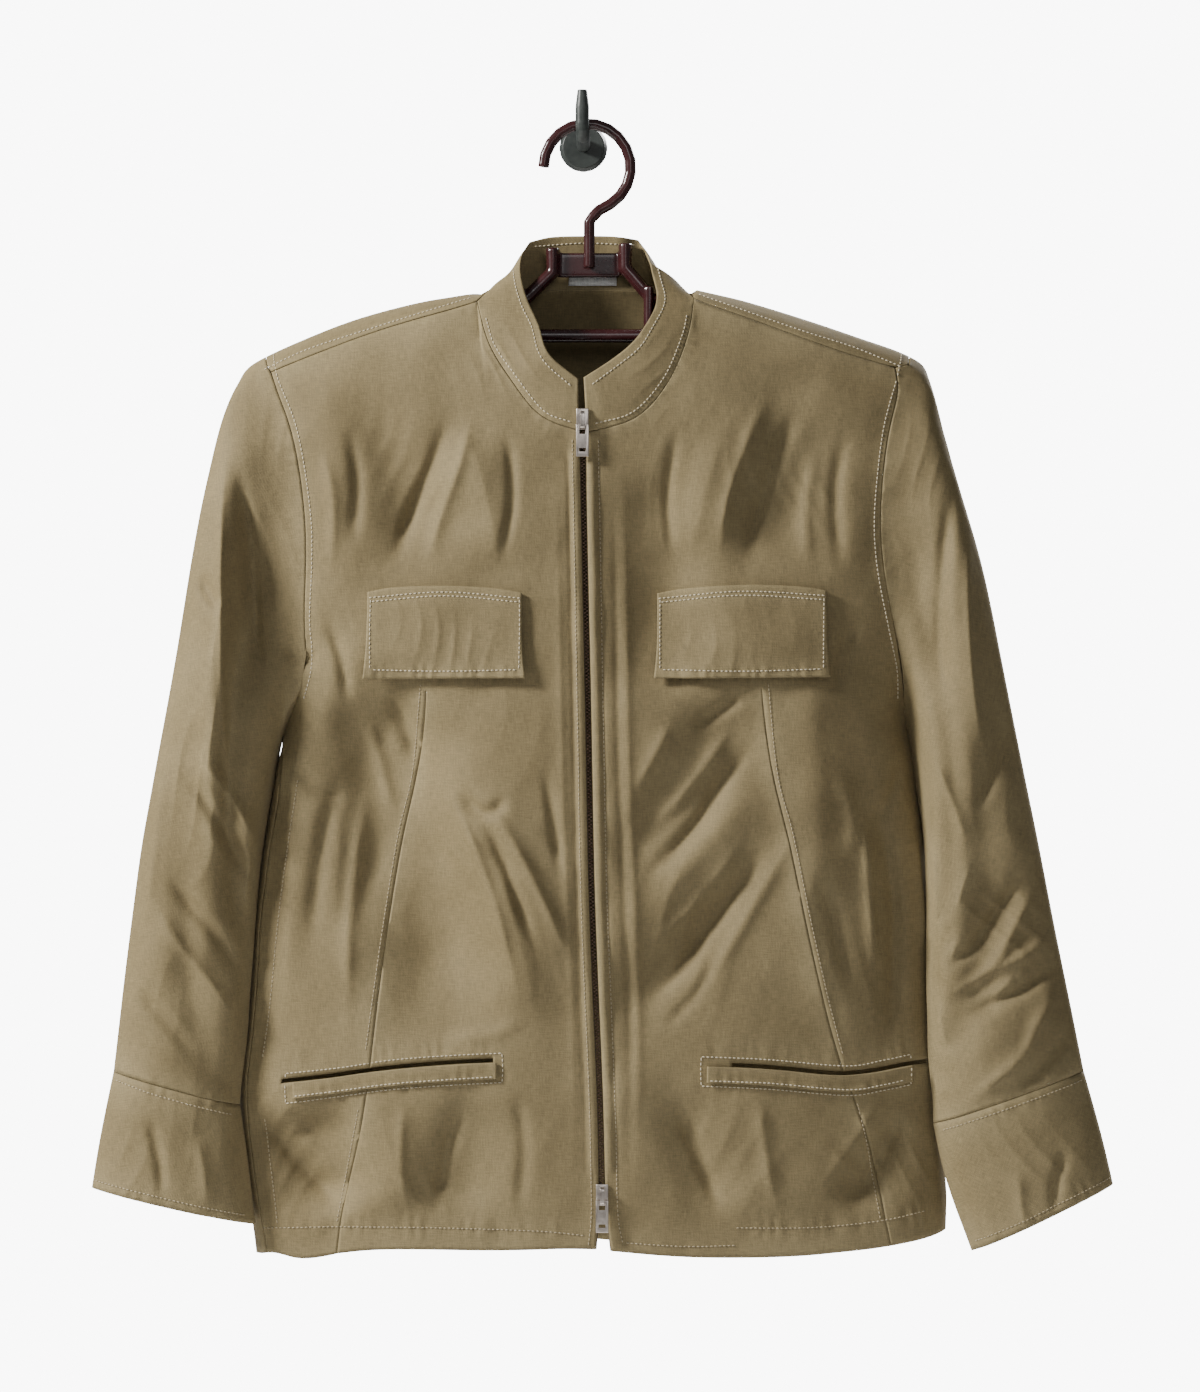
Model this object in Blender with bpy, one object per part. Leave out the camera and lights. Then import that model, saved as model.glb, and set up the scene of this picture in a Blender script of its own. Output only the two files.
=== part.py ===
# Zip jacket on a plastic hanger that hangs on a wall hook.
# Metres, +Z up. The front faces -Y and the wall is the plane y = 0.
# The origin is the middle of the wall hook's flat back.
# The tables are in millimetres: x across as seen from the front, z up, depths along y.
from math import acos, cos, exp, pi, radians, sin

import bmesh
import bpy
from mathutils import Matrix, Vector

MM = 0.001
CLOTH = 0.0015          # folded twill with its seam allowances
GAP = 0.0003            # clearance between neighbouring pieces
SEAM_GAP = 0.0004       # at the armholes and the collar
FOLD_STAND = 0.0009     # a sleeve or collar that folds back stands off its panel by this
HANG_Y = -0.062         # plane of the hanger, in front of the wall

# How the cloth rounds over the shoulders and at the side edges
ROLL_HEIGHT = 120.0
ROLL_POWER = 2.2
EDGE_POWER = 2.5

# Rows of the panels' grids, counted up from the hem
ROWS_BELOW_WELT = 5
ROWS_TO_UNDERARM = 9
ROWS_TO_CHEST = 7
ROWS_TO_SEAM = 5
ROW_WELT = ROWS_BELOW_WELT
ROW_SLOT = ROW_WELT + 1
ROW_UNDERARM = ROW_SLOT + ROWS_TO_UNDERARM
ROW_CHEST = ROW_UNDERARM + ROWS_TO_CHEST
ROW_SEAM = ROW_CHEST + ROWS_TO_SEAM
ROW_DART = ROW_UNDERARM + 1
COL_DART = 5
COL_NECK = 8
SIDE_CROWD = {1: 1.3, 2: 1.6}     # how far columns crowd towards the left and right side seams
COL_FRONT = 16
BACK_NECK_COLS = 10
BACK_COLS = 2 * COL_NECK + BACK_NECK_COLS
BACK_CROWD = 0.85       # how far the back's columns crowd towards its sides
CHEST_Z = -240.0
UNDERARM_Z = -400.0
SLOT_HEIGHT = 3.0
SIDE_WRAP = 10.0        # the left side seam lies this far round on the front
SIDE_WRAP_START = 40.0

# Body ring: z, left edge, right edge, depth of the front, depth of the back.
# Above the underarm the ring runs on past the armholes.
BODY = (
    (-770, -219.0, 238.0, 44, 35),
    (-745, -222.0, 243.0, 46, 36),
    (-712, -229.0, 243.0, 48, 38),
    (-658, -236.5, 240.0, 51, 40),
    (-590, -230.5, 237.5, 52, 42),
    (-521, -226.0, 236.5, 53, 44),
    (-440, -211.5, 226.0, 54, 45),
    (-400, -204.0, 219.0, 54, 45),
    (-330, -222.0, 238.0, 52, 44),
    (-250, -240.0, 250.0, 48, 42),
    (-150, -258.0, 262.0, 43, 37),
    (-60, -262.0, 262.0, 40, 34),
)

# Armhole seam on the fronts: z, left x, right x. The back's seam bows out further.
ARMHOLE = (
    (-400, -204.0, 219.0),
    (-385, -196.0, 220.0),
    (-367, -190.0, 219.0),
    (-351, -189.0, 216.0),
    (-330, -190.5, 211.5),
    (-292, -189.0, 204.5),
    (-256, -190.0, 203.0),
    (-202, -199.0, 209.0),
    (-164, -213.5, 219.5),
    (-140, -219.0, 225.0),
)
BACK_ARMHOLE_BOW = 7.0
SHOULDER_END = 214.0    # where the columns start along the shoulder seam

# Top line of the shoulders, run on across the neck: x, z
SHOULDER = (
    (-262, -180.0),
    (-230, -156.0),
    (-192, -137.4),
    (-138, -117.0),
    (-71, -104.7),
    (-35, -95.0),
    (0, -91.0),
    (35, -94.0),
    (72, -102.0),
    (134, -117.0),
    (182, -134.0),
    (224, -149.0),
    (262, -176.0),
)

# Forward shoulder seam, below the top line on the front: distance from the centre, drop
SEAM_DROP = (
    (72, 7.0),
    (100, 11.0),
    (150, 15.0),
    (225, 13.0),
)

# Front neckline, from the shoulder to the zip: x, z
NECK_LEFT = (
    (-72.8, -112.2),
    (-70.0, -125.0),
    (-64.0, -144.0),
    (-50.0, -166.0),
    (-28.6, -193.0),
    (-2.6, -202.0),
)
NECK_RIGHT = (
    (76.0, -110.0),
    (75.2, -122.0),
    (72.0, -137.0),
    (59.0, -168.0),
    (36.7, -193.8),
    (2.4, -203.0),
)
BACK_NECK_DROP = 10.0
BACK_NECK_POWER = 0.75
HEM_HALF = 200.0        # half the hem's width, along which the back's rows follow the hem

# Panel seams of the fronts, from the shoulder to the hem: z, left x, right x
DART = (
    (-763, -168.0, 204.7),
    (-733, -164.5, 198.0),
    (-680, -151.6, 189.0),
    (-634, -144.8, 175.0),
    (-587, -139.4, 163.0),
    (-536, -132.6, 151.5),
    (-477, -123.0, 139.5),
    (-437, -113.6, 129.0),
    (-388, -106.8, 122.5),
    (-300, -107.0, 116.0),
    (-125, -108.0, 108.0),
)

# Free edges of the fronts at the zip: z, left x, right x
ZIP_EDGE = (
    (-762, 8.4, 19.4),
    (-740, 10.5, 16.2),
    (-719, 10.7, 15.1),
    (-658, 9.4, 13.8),
    (-522, 3.9, 8.3),
    (-386, 1.2, 5.6),
    (-222, -2.2, 2.2),
    (-150, -2.6, 2.4),
)

# Hem and the upper edge of the pocket slots: x, z
HEM = (
    (-225, -768.0),
    (-204, -763.6),
    (-186, -768.0),
    (-165, -763.0),
    (-130, -760.0),
    (-60, -760.5),
    (0, -759.0),
    (22, -761.0),
    (72, -765.0),
    (141, -765.0),
    (186, -761.0),
    (226, -754.5),
    (245, -748.5),
)
WELT_LINE = (
    (-240, -646.0),
    (-199, -644.0),
    (-130, -634.0),
    (-59, -629.0),
    (0, -630.0),
    (84, -631.5),
    (130, -634.0),
    (180, -638.5),
    (222, -632.0),
    (240, -631.0),
)

# Largest folds of the body: front or back (-1, 1), start x, z, end x, z, width, rise.
# A negative rise is a trough.
FOLDS = (
    (-1, 124, -410, 80, -467, 13, -8),
    (-1, 84, -462, 36, -508, 13, -7),
    (-1, 128, -480, 80, -549, 13, -7),
    (-1, 84, -544, 38, -600, 13, -6),
    (-1, 112, -380, 72, -405, 11, -5),
    (-1, 190, -447, 214, -540, 14, -9),
    (-1, 212, -530, 204, -625, 13, -8),
    (-1, 150, -520, 176, -600, 14, 5),
    (-1, -94, -440, -43, -590, 15, 7),
    (-1, -66, -455, -20, -560, 13, 6),
    (-1, -72, -455, -30, -560, 10, -5),
    (-1, -136, -378, -112, -430, 14, -8),
    (-1, -165, -430, -185, -560, 15, -5),
    (-1, -90, -180, -131, -295, 15, -5),
    (-1, -165, -190, -160, -300, 14, 4),
    (-1, 148, -175, 112, -295, 15, -5),
    (-1, 172, -190, 182, -300, 13, 4),
    (-1, -223, -664, -165, -739, 13, -7),
    (-1, -80, -660, -100, -735, 14, -5),
    (-1, 215, -660, 176, -739, 13, -6),
    (-1, 60, -655, 96, -740, 14, -5),
    (1, -120, -180, -60, -420, 18, -7),
    (1, 110, -170, 70, -400, 18, -6),
    (1, -190, -420, -110, -560, 16, -8),
    (1, 195, -430, 120, -590, 16, -8),
    (1, -40, -430, 30, -640, 17, -7),
    (1, 60, -500, 10, -735, 16, 6),
    (1, -150, -590, -120, -740, 15, -6),
    (1, 170, -620, 150, -740, 15, 6),
)
FOLD_CLEAR = 30.0       # folds fade out over this distance from the zip

# Upper edge of the collar, from zip edge to zip edge: share of the way round, x, z, y from the hanger
COLLAR_TOP = (
    (0.00, -3.2, -167.0, -45),
    (0.08, -21.0, -153.0, -43),
    (0.14, -27.0, -143.0, -40),
    (0.20, -30.0, -129.0, -33),
    (0.26, -37.5, -114.0, -23),
    (0.31, -42.0, -99.0, -12),
    (0.38, -43.5, -80.0, 3),
    (0.44, -33.0, -66.5, 14),
    (0.50, 0.0, -65.0, 18),
    (0.56, 33.0, -66.0, 14),
    (0.62, 44.0, -77.0, 4),
    (0.69, 48.0, -95.0, -10),
    (0.75, 51.5, -112.0, -23),
    (0.81, 43.0, -129.0, -34),
    (0.87, 34.0, -142.0, -40),
    (0.93, 19.0, -154.0, -43),
    (1.00, 0.4, -166.0, -45),
)
COLLAR_ROWS = 4
COLLAR_BOW = 2.5

# Sleeve sections: outer x, z, inner x, z, half depth, y from the hanger
LEFT_SLEEVE = (
    (-218.3, -153.0, -204.0, -400.0, 40, 0),
    (-229.8, -158.0, -207.5, -411.0, 38, 0),
    (-237.3, -166.6, -210.5, -424.0, 38, -2),
    (-243.4, -178.8, -213.5, -441.0, 38, -6),
    (-249.6, -196.5, -217.0, -459.0, 37, -11),
    (-255.7, -223.7, -219.5, -476.0, 36, -15),
    (-261.8, -252.0, -222.0, -492.0, 35, -18),
    (-268.0, -286.0, -223.5, -508.0, 34, -20),
    (-273.4, -321.0, -225.0, -524.0, 33, -21),
    (-278.8, -355.0, -226.5, -541.0, 32, -22),
    (-284.9, -389.0, -227.5, -558.0, 31, -22),
    (-291.0, -421.0, -228.5, -575.0, 31, -22),
    (-296.5, -452.0, -229.5, -592.0, 30, -22),
    (-302.6, -484.0, -231.0, -608.0, 29, -22),
    (-306.7, -516.0, -232.5, -622.0, 28, -22),
    (-310.8, -547.4, -234.0, -634.4, 27, -22),
    (-314.8, -579.4, -235.5, -645.3, 26, -22),
    (-318.2, -610.0, -236.5, -655.0, 25, -22),
    (-321.6, -639.2, -237.0, -662.3, 24, -22),
)
RIGHT_SLEEVE = (
    (223.5, -149.5, 219.0, -400.0, 40, 0),
    (231.9, -153.5, 222.5, -411.0, 38, 0),
    (237.8, -161.2, 225.5, -424.0, 38, -2),
    (242.5, -178.8, 228.5, -441.0, 38, -6),
    (247.8, -201.3, 231.5, -459.0, 37, -11),
    (253.6, -222.4, 234.0, -476.0, 36, -15),
    (261.2, -249.0, 235.3, -492.0, 35, -18),
    (270.6, -279.5, 235.8, -508.0, 34, -20),
    (278.0, -310.8, 236.2, -524.0, 33, -21),
    (284.0, -341.4, 236.4, -541.0, 32, -21),
    (290.0, -372.0, 236.4, -558.0, 31, -21),
    (296.5, -404.6, 236.4, -575.0, 31, -21),
    (303.6, -440.0, 236.6, -592.0, 30, -21),
    (311.0, -475.3, 237.0, -608.0, 29, -21),
    (317.6, -509.4, 237.5, -622.0, 28, -21),
    (323.7, -541.3, 238.2, -634.4, 27, -21),
    (330.0, -571.8, 239.0, -647.0, 26, -21),
    (336.6, -604.0, 240.0, -661.0, 25, -21),
    (343.4, -638.5, 241.5, -675.0, 24, -21),
)
LEFT_CUFF = (
    (-321.9, -640.2, -237.2, -663.4, 24.2, -22),
    (-327.5, -667.0, -233.0, -691.0, 25, -22),
    (-332.6, -693.0, -229.8, -719.0, 26, -22),
    (-336.6, -718.8, -227.0, -744.0, 26.5, -22),
)
RIGHT_CUFF = (
    (343.7, -639.6, 241.9, -676.2, 24.2, -21),
    (351.0, -665.0, 247.0, -705.0, 25, -21),
    (358.0, -691.0, 255.5, -734.0, 26, -21),
    (363.5, -716.0, 265.9, -762.5, 26.5, -21),
)
HEAD_RINGS = 6          # sleeve sections that still follow the armhole's shape
SLEEVE_SEAM_ROW = ROW_CHEST + 3     # row of the back where the sleeve's outer seam starts

# Troughs and ridges that run down the sleeves: section, angle, rise.
# The angle is 0 at the outer edge, 90 at the front, 180 at the inner edge and -90 behind.
LEFT_SLEEVE_FOLDS = (
    (22, ((0, 78, 0), (3, 92, -9), (6, 102, -13), (9, 126, -11), (11, 152, -6), (13, 176, 0))),
    (18, ((1, 52, 0), (4, 62, 5), (8, 84, 6), (11, 110, 3), (13, 130, 0))),
    (20, ((10, 60, 0), (13, 84, -6), (16, 118, -5), (18, 150, 0))),
    (24, ((2, -70, 0), (6, -84, -9), (10, -104, -8), (14, -120, 0))),
    (20, ((9, -50, 0), (13, -80, -7), (17, -105, 0))),
)
RIGHT_SLEEVE_FOLDS = (
    (22, ((0, 84, 0), (3, 96, -7), (6, 104, -9), (9, 118, -8), (12, 150, -4), (14, 176, 0))),
    (20, ((8, 50, 0), (11, 76, -7), (14, 112, -9), (16, 150, -6), (18, 176, 0))),
    (18, ((12, 34, 0), (14, 62, 6), (16, 96, 6), (18, 130, 0))),
    (24, ((2, -70, 0), (6, -88, -9), (10, -100, -8), (14, -116, 0))),
    (20, ((9, -52, 0), (13, -78, -7), (17, -110, 0))),
)


def cubic(table, key, column):
    """Smooth value of one column at a key, through the table's rows."""
    rows = sorted(table)
    if key <= rows[0][0]:
        return rows[0][column]
    if key >= rows[-1][0]:
        return rows[-1][column]
    at = max(i for i in range(len(rows) - 1) if rows[i][0] <= key)

    def slope(i):
        before, after = rows[max(i - 1, 0)], rows[min(i + 1, len(rows) - 1)]
        return (after[column] - before[column]) / (after[0] - before[0])

    low, high = rows[at], rows[at + 1]
    span = high[0] - low[0]
    t = (key - low[0]) / span
    return (low[column] * (1 + 2 * t) * (1 - t) ** 2 + high[column] * t * t * (3 - 2 * t)
            + span * (slope(at) * t * (1 - t) ** 2 - slope(at + 1) * t * t * (1 - t)))


def mix(a, b, t):
    return a + (b - a) * t


def ease(t):
    t = min(max(t, 0.0), 1.0)
    return t * t * (3 - 2 * t)


def top_line(x):
    return cubic(SHOULDER, x, 1)


def body_point(x, z, side):
    """Point of the body's surface at x, z; side is -1 in front and 1 behind."""
    left, right = cubic(BODY, z, 1), cubic(BODY, z, 2)
    share = min(abs((x - (left + right) / 2) / ((right - left) / 2)), 1.0)
    edge = (1 - share ** EDGE_POWER) ** (1 / EDGE_POWER)
    drop = min(max((top_line(x) - z) / ROLL_HEIGHT, 0.0), 1.0)
    roll = (1 - (1 - drop) ** ROLL_POWER) ** (1 / ROLL_POWER)
    depth = cubic(BODY, z, 3 if side < 0 else 4) * edge * roll
    depth += edge * fold_rise(x, z, side)
    return Vector((x * MM, HANG_Y + side * depth * MM, z * MM))


def fold_rise(x, z, side):
    rise = 0.0
    for fold_side, x0, z0, x1, z1, width, height in FOLDS:
        if fold_side != side:
            continue
        length_sq = (x1 - x0) ** 2 + (z1 - z0) ** 2
        along = ((x - x0) * (x1 - x0) + (z - z0) * (z1 - z0)) / length_sq
        if -0.3 < along < 1.3:
            off = ((x - x0) * (z1 - z0) - (z - z0) * (x1 - x0)) / length_sq ** 0.5
            fade = ease((along + 0.3) / 0.5) * ease((1.3 - along) / 0.5)
            rise += height * fade * exp(-((off / width) ** 2))
    if side < 0:
        rise *= ease(abs(x - cubic(ZIP_EDGE, z, 1)) / FOLD_CLEAR)
    return rise


def row_height(row, x):
    """Height of a grid row at x, from the hem up to the chest line."""
    if row >= ROW_UNDERARM:
        return mix(UNDERARM_Z, CHEST_Z, (row - ROW_UNDERARM) / ROWS_TO_CHEST)
    slot = cubic(WELT_LINE, x, 1)
    if row >= ROW_SLOT:
        return mix(slot, UNDERARM_Z, (row - ROW_SLOT) / ROWS_TO_UNDERARM)
    return mix(cubic(HEM, x, 1), slot - SLOT_HEIGHT, row / ROWS_BELOW_WELT)


def armhole(z, column, side):
    x = cubic(ARMHOLE, z, column)
    if side > 0:
        share = min(max((z - UNDERARM_Z) / (ARMHOLE[-1][0] - UNDERARM_Z), 0.0), 1.0)
        x += BACK_ARMHOLE_BOW * sin(pi * share) * (-1 if column == 1 else 1)
    return x


def seam_height(x):
    return top_line(x) - cubic(SEAM_DROP, abs(x), 1)


def neck_points(neck, count):
    """Points along a front neckline, evenly spaced by length, with rounded corners."""
    points = []
    lengths = [0.0]
    for a, b in zip(neck, neck[1:]):
        lengths.append(lengths[-1] + ((a[0] - b[0]) ** 2 + (a[1] - b[1]) ** 2) ** 0.5)
    keyed = [(length, x, z) for length, (x, z) in zip(lengths, neck)]
    for i in range(count + 1):
        at = lengths[-1] * i / count
        points.append((cubic(keyed, at, 1), cubic(keyed, at, 2)))
    return points


def front_grid(column):
    """Outer points of one front, rows from the hem up, columns from the side to the zip."""
    sign = -1 if column == 1 else 1
    power = SIDE_CROWD[column]
    neck = NECK_LEFT if column == 1 else NECK_RIGHT
    neck = neck_points(neck, COL_FRONT - COL_NECK)

    def border(z):
        if z > UNDERARM_Z:
            return armhole(z, column, -1)
        wrap = SIDE_WRAP * ease((UNDERARM_Z - z) / SIDE_WRAP_START) if column == 1 else 0.0
        return cubic(BODY, z, column) + wrap

    def column_x(z, at):
        dart = cubic(DART, z, column)
        if at <= COL_DART:
            return mix(border(z), dart, (at / COL_DART) ** power)
        return mix(dart, cubic(ZIP_EDGE, z, column), (at - COL_DART) / (COL_FRONT - COL_DART))

    rows = []
    for row in range(ROW_CHEST + 1):
        points = []
        for at in range(COL_FRONT + 1):
            z = row_height(row, sign * 100)
            for _ in range(3):
                x = column_x(z, at)
                z = row_height(row, x)
            points.append((x, z))
        rows.append(points)
    base = rows[-1]
    tops = []
    neck_x = neck[0][0]
    seam_x = cubic(DART, DART[-1][0], column)
    for at in range(COL_NECK):
        if at <= COL_DART:
            x = mix(sign * SHOULDER_END, seam_x, (at / COL_DART) ** power)
        else:
            x = mix(seam_x, neck_x, (at - COL_DART) / (COL_NECK - COL_DART))
        tops.append((x, seam_height(x)))
    tops += neck
    for row in range(1, ROWS_TO_SEAM + 1):
        t = row / ROWS_TO_SEAM
        points = [(mix(a[0], b[0], t), mix(a[1], b[1], t)) for a, b in zip(base, tops)]
        edge_x = armhole(points[0][1], column, -1)
        if row < ROWS_TO_SEAM:
            shift = edge_x - points[0][0]
            points = [(x + shift * max(1 - i / COL_DART, 0.0), z) for i, (x, z) in enumerate(points)]
        rows.append(points)
    return [[body_point(x, z, -1) for x, z in points] for points in rows]


ROLL_ROWS = (0.76, 0.55, 0.36, 0.20, 0.08, 0.0)     # shares of the way left to the top line
LAP_ROWS = (0.5, 0.0)                               # and of the lap past it, to the front seam
LAP_LEAST = 7.0


def back_grid(front_left, front_right):
    """Outer points of the back, rows from the hem up and over the shoulders."""
    shares = [mix(i / BACK_COLS, (1 - cos(pi * i / BACK_COLS)) / 2, BACK_CROWD)
              for i in range(BACK_COLS + 1)]
    rows = []
    for row in range(ROW_CHEST + 1):
        points = []
        for share in shares:
            z = row_height(row, mix(-HEM_HALF, HEM_HALF, share))
            for _ in range(3):
                left, right = cubic(BODY, z, 1), cubic(BODY, z, 2)
                if z > UNDERARM_Z:
                    start = armhole(z, 1, 1) - left
                    end = armhole(z, 2, 1) - left
                else:
                    start = -SIDE_WRAP * ease((UNDERARM_Z - z) / SIDE_WRAP_START)
                    end = right - left
                girth = mix(start, end, share)
                x = left + abs(girth)
                z = row_height(row, x)
            points.append(body_point(x, z, -1 if girth < 0 else 1))
        rows.append(points)
    seam = [point.x / MM for point in front_left[-1][:COL_NECK + 1]]
    for i in range(1, BACK_NECK_COLS):
        way = mix(i / BACK_NECK_COLS, (1 - cos(pi * i / BACK_NECK_COLS)) / 2, 0.6)
        seam.append(mix(NECK_LEFT[0][0], NECK_RIGHT[0][0], way))
    seam += [point.x / MM for point in reversed(front_right[-1][:COL_NECK + 1])]
    steps = [(share, 1.0) for share in ROLL_ROWS] + [(0.0, share) for share in LAP_ROWS]
    for to_top, lap_left in steps:
        points = []
        for at, top_x in enumerate(seam):
            base_x = rows[ROW_CHEST][at].x / MM
            inside = min(at - COL_NECK, BACK_COLS - COL_NECK - at)
            if inside > 0:
                lift = sin(pi * inside / BACK_NECK_COLS) ** BACK_NECK_POWER
                end = mix(-cubic(SEAM_DROP, NECK_RIGHT[0][0], 1), BACK_NECK_DROP, lift)
            else:
                end = -cubic(SEAM_DROP, abs(top_x), 1)
            lap = max(-end, LAP_LEAST)
            whole = top_line(base_x) - CHEST_Z
            drop = end + lap * lap_left + (whole - end - lap) * to_top
            x = mix(base_x, top_x, (whole - drop) / (whole - end))
            bend = max(1 - min(at, BACK_COLS - at) / COL_DART, 0.0)
            if lap_left > 0:
                edge = 1 if at < BACK_COLS / 2 else 2
                x = mix(x, armhole(top_line(x) - abs(drop), edge, 1), bend)
            z = top_line(x) - abs(drop)
            points.append(body_point(x, z, 1 if drop > 0 else -1))
        rows.append(points)
    return rows


def part_columns(rows, at, towards):
    """Move a grid's border column back by half a gap, towards its neighbour column."""
    for points in rows:
        points[at] = points[at] + (points[towards] - points[at]).normalized() * GAP / 2


def part_row(points, neighbours):
    for i, (point, other) in enumerate(zip(points, neighbours)):
        points[i] = point + (other - point).normalized() * SEAM_GAP


def grid_normals(rows, closed, flip):
    """Unit normals at a grid's points, turned round where flip is -1."""
    normals = []
    last_row, count = len(rows) - 1, len(rows[0])
    for r, points in enumerate(rows):
        line = []
        for c in range(count):
            if closed:
                across = points[(c + 1) % count] - points[c - 1]
            else:
                across = points[min(c + 1, count - 1)] - points[max(c - 1, 0)]
            up = rows[min(r + 1, last_row)][c] - rows[max(r - 1, 0)][c]
            line.append(across.cross(up).normalized() * flip)
        normals.append(line)
    return normals


def share_normal(normals_a, r_a, c_a, normals_b, r_b, c_b):
    """Give two points that meet at a seam one normal, so that their walls don't cross."""
    both = (normals_a[r_a][c_a] + normals_b[r_b][c_b]).normalized()
    normals_a[r_a][c_a] = both
    normals_b[r_b][c_b] = both


def inside(rows, normals, wall=CLOTH):
    return [[p - n * wall for p, n in zip(points, line)] for points, line in zip(rows, normals)]


def material(name, colour, roughness, metallic=0.0):
    made = bpy.data.materials.new(name)
    made.use_nodes = True
    shader = made.node_tree.nodes["Principled BSDF"]
    shader.inputs["Base Color"].default_value = (*colour, 1.0)
    shader.inputs["Roughness"].default_value = roughness
    shader.inputs["Metallic"].default_value = metallic
    return made


def link_mesh(name, bm, finish, smooth=True):
    mesh = bpy.data.meshes.new(name)
    bm.to_mesh(mesh)
    bm.free()
    made = bpy.data.objects.new(name, mesh)
    bpy.context.collection.objects.link(made)
    mesh.materials.append(material(name, *finish))
    if smooth:
        mesh.shade_smooth()
        mesh.set_sharp_from_angle(angle=radians(40))
    return made


def cloth(name, outer, inner, finish, closed=False, flip=1, slit=None, skip=()):
    """A wall between an outer and an inner grid. A slit (column, row) parts the column's
    seam below that row; skip names the cells that stay open."""
    bm = bmesh.new()
    points = {}

    def corner(r, c, right, layer):
        part = 0
        if slit and c == slit[0] and r < slit[1]:
            part = 1 if right else -1
        key = (r, c, part, layer)
        if key not in points:
            grid = inner if layer else outer
            place = grid[r][c]
            if part:
                place = place + (grid[r][c + part] - place).normalized() * GAP / 2
            points[key] = bm.verts.new(place)
        return points[key]

    loops = []
    count = len(outer[0])
    for r in range(len(outer) - 1):
        for c in range(count if closed else count - 1):
            if (r, c) in skip:
                continue
            after = (c + 1) % count
            loops.append(((r, c, True), (r, after, False), (r + 1, after, False), (r + 1, c, True)))
    if flip < 0:
        loops = [tuple(reversed(loop)) for loop in loops]
    edges = []
    for loop in loops:
        front = [corner(*place, 0) for place in loop]
        behind = [corner(*place, 1) for place in loop]
        for picked in ((1, 2, 3), (1, 3, 0)):
            bm.faces.new([front[i] for i in picked])
            bm.faces.new([behind[i] for i in reversed(picked)])
        for i in range(4):
            edges.append((front[i], front[i - 3], behind[i], behind[i - 3]))
    directed = {(edge[0], edge[1]) for edge in edges}
    for a, b, a_in, b_in in edges:
        if (b, a) not in directed:
            if (b.co - a_in.co).length < (a.co - b_in.co).length:
                bm.faces.new((b, a, a_in))
                bm.faces.new((b, a_in, b_in))
            else:
                bm.faces.new((b, a, b_in))
                bm.faces.new((a, a_in, b_in))
    return link_mesh(name, bm, finish)


def overlay(rows, normals, spots, lift, wall):
    """Outer and inner points of a piece that lies on a panel. Each spot is a column and a
    row of the panel's grid, with parts of cells as fractions, and an added height."""

    def at(grid, column, row):
        c, r = min(int(column), len(grid[0]) - 2), min(int(row), len(grid) - 2)
        s, t = column - c, row - r
        low = grid[r][c].lerp(grid[r][c + 1], s)
        return low.lerp(grid[r + 1][c].lerp(grid[r + 1][c + 1], s), t)

    outer, inner = [], []
    for line in spots:
        raised, under = [], []
        for column, row, height in line:
            place = at(rows, column, row)
            normal = at(normals, column, row).normalized()
            raised.append(place + normal * (lift + height + wall))
            under.append(place + normal * (lift + height))
        outer.append(raised)
        inner.append(under)
    return outer, inner


def locate(column, x, z):
    """Column and row of a front's grid, as fractions, at x, z below the chest line."""
    dart = cubic(DART, z, column)
    if (x - dart) * (1 if column == 1 else -1) < 0:
        power = SIDE_CROWD[column]
        start = armhole(z, column, -1) if z > UNDERARM_Z else cubic(BODY, z, column)
        at = COL_DART * max((x - start) / (dart - start), 0.0) ** (1 / power)
    else:
        edge = cubic(ZIP_EDGE, z, column)
        at = COL_DART + (x - dart) / (edge - dart) * (COL_FRONT - COL_DART)
    if z > UNDERARM_Z:
        return at, ROW_UNDERARM + (z - UNDERARM_Z) / (CHEST_Z - UNDERARM_Z) * ROWS_TO_CHEST
    low, high = cubic(HEM, x, 1), cubic(WELT_LINE, x, 1) - SLOT_HEIGHT
    return at, ROW_WELT * (z - low) / (high - low)


TWILL = ((0.34, 0.27, 0.165), 0.85)
TWILL_DARK = ((0.30, 0.235, 0.14), 0.85)
METAL = ((0.72, 0.63, 0.57), 0.35, 1.0)
TAPE = ((0.10, 0.075, 0.05), 0.8)
PLASTIC = ((0.055, 0.02, 0.02), 0.3)
HOOK = ((0.045, 0.055, 0.05), 0.45)
WHITE = ((0.85, 0.85, 0.83), 0.7)

# Slots stay open between these columns of the fronts' grids
LEFT_SLOT = (2, 11)
RIGHT_SLOT = (1, 10)

# Chest flaps and welts: left x, right x, height of the top corners and of the bottom corners
LEFT_FLAP = (-149.0, -39.0, -312.0, -313.0, -371.0, -371.0)
RIGHT_FLAP = (48.0, 168.0, -313.0, -311.0, -371.0, -370.0)
FLAP_CROWN = 4.5        # the flap's upper edge rises to its middle
FLAP_STAND = 3.0        # and its lower edge stands off the front
FLAP_WALL = 0.0018
LEFT_WELT = (-199.5, -58.5)
RIGHT_WELT = (84.0, 221.0)
WELT_DROP = 11.0
WELT_WALL = 0.0018
LAY_LIFT = 0.0009       # an overlaid piece clears the facets of its panel by this much


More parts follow.
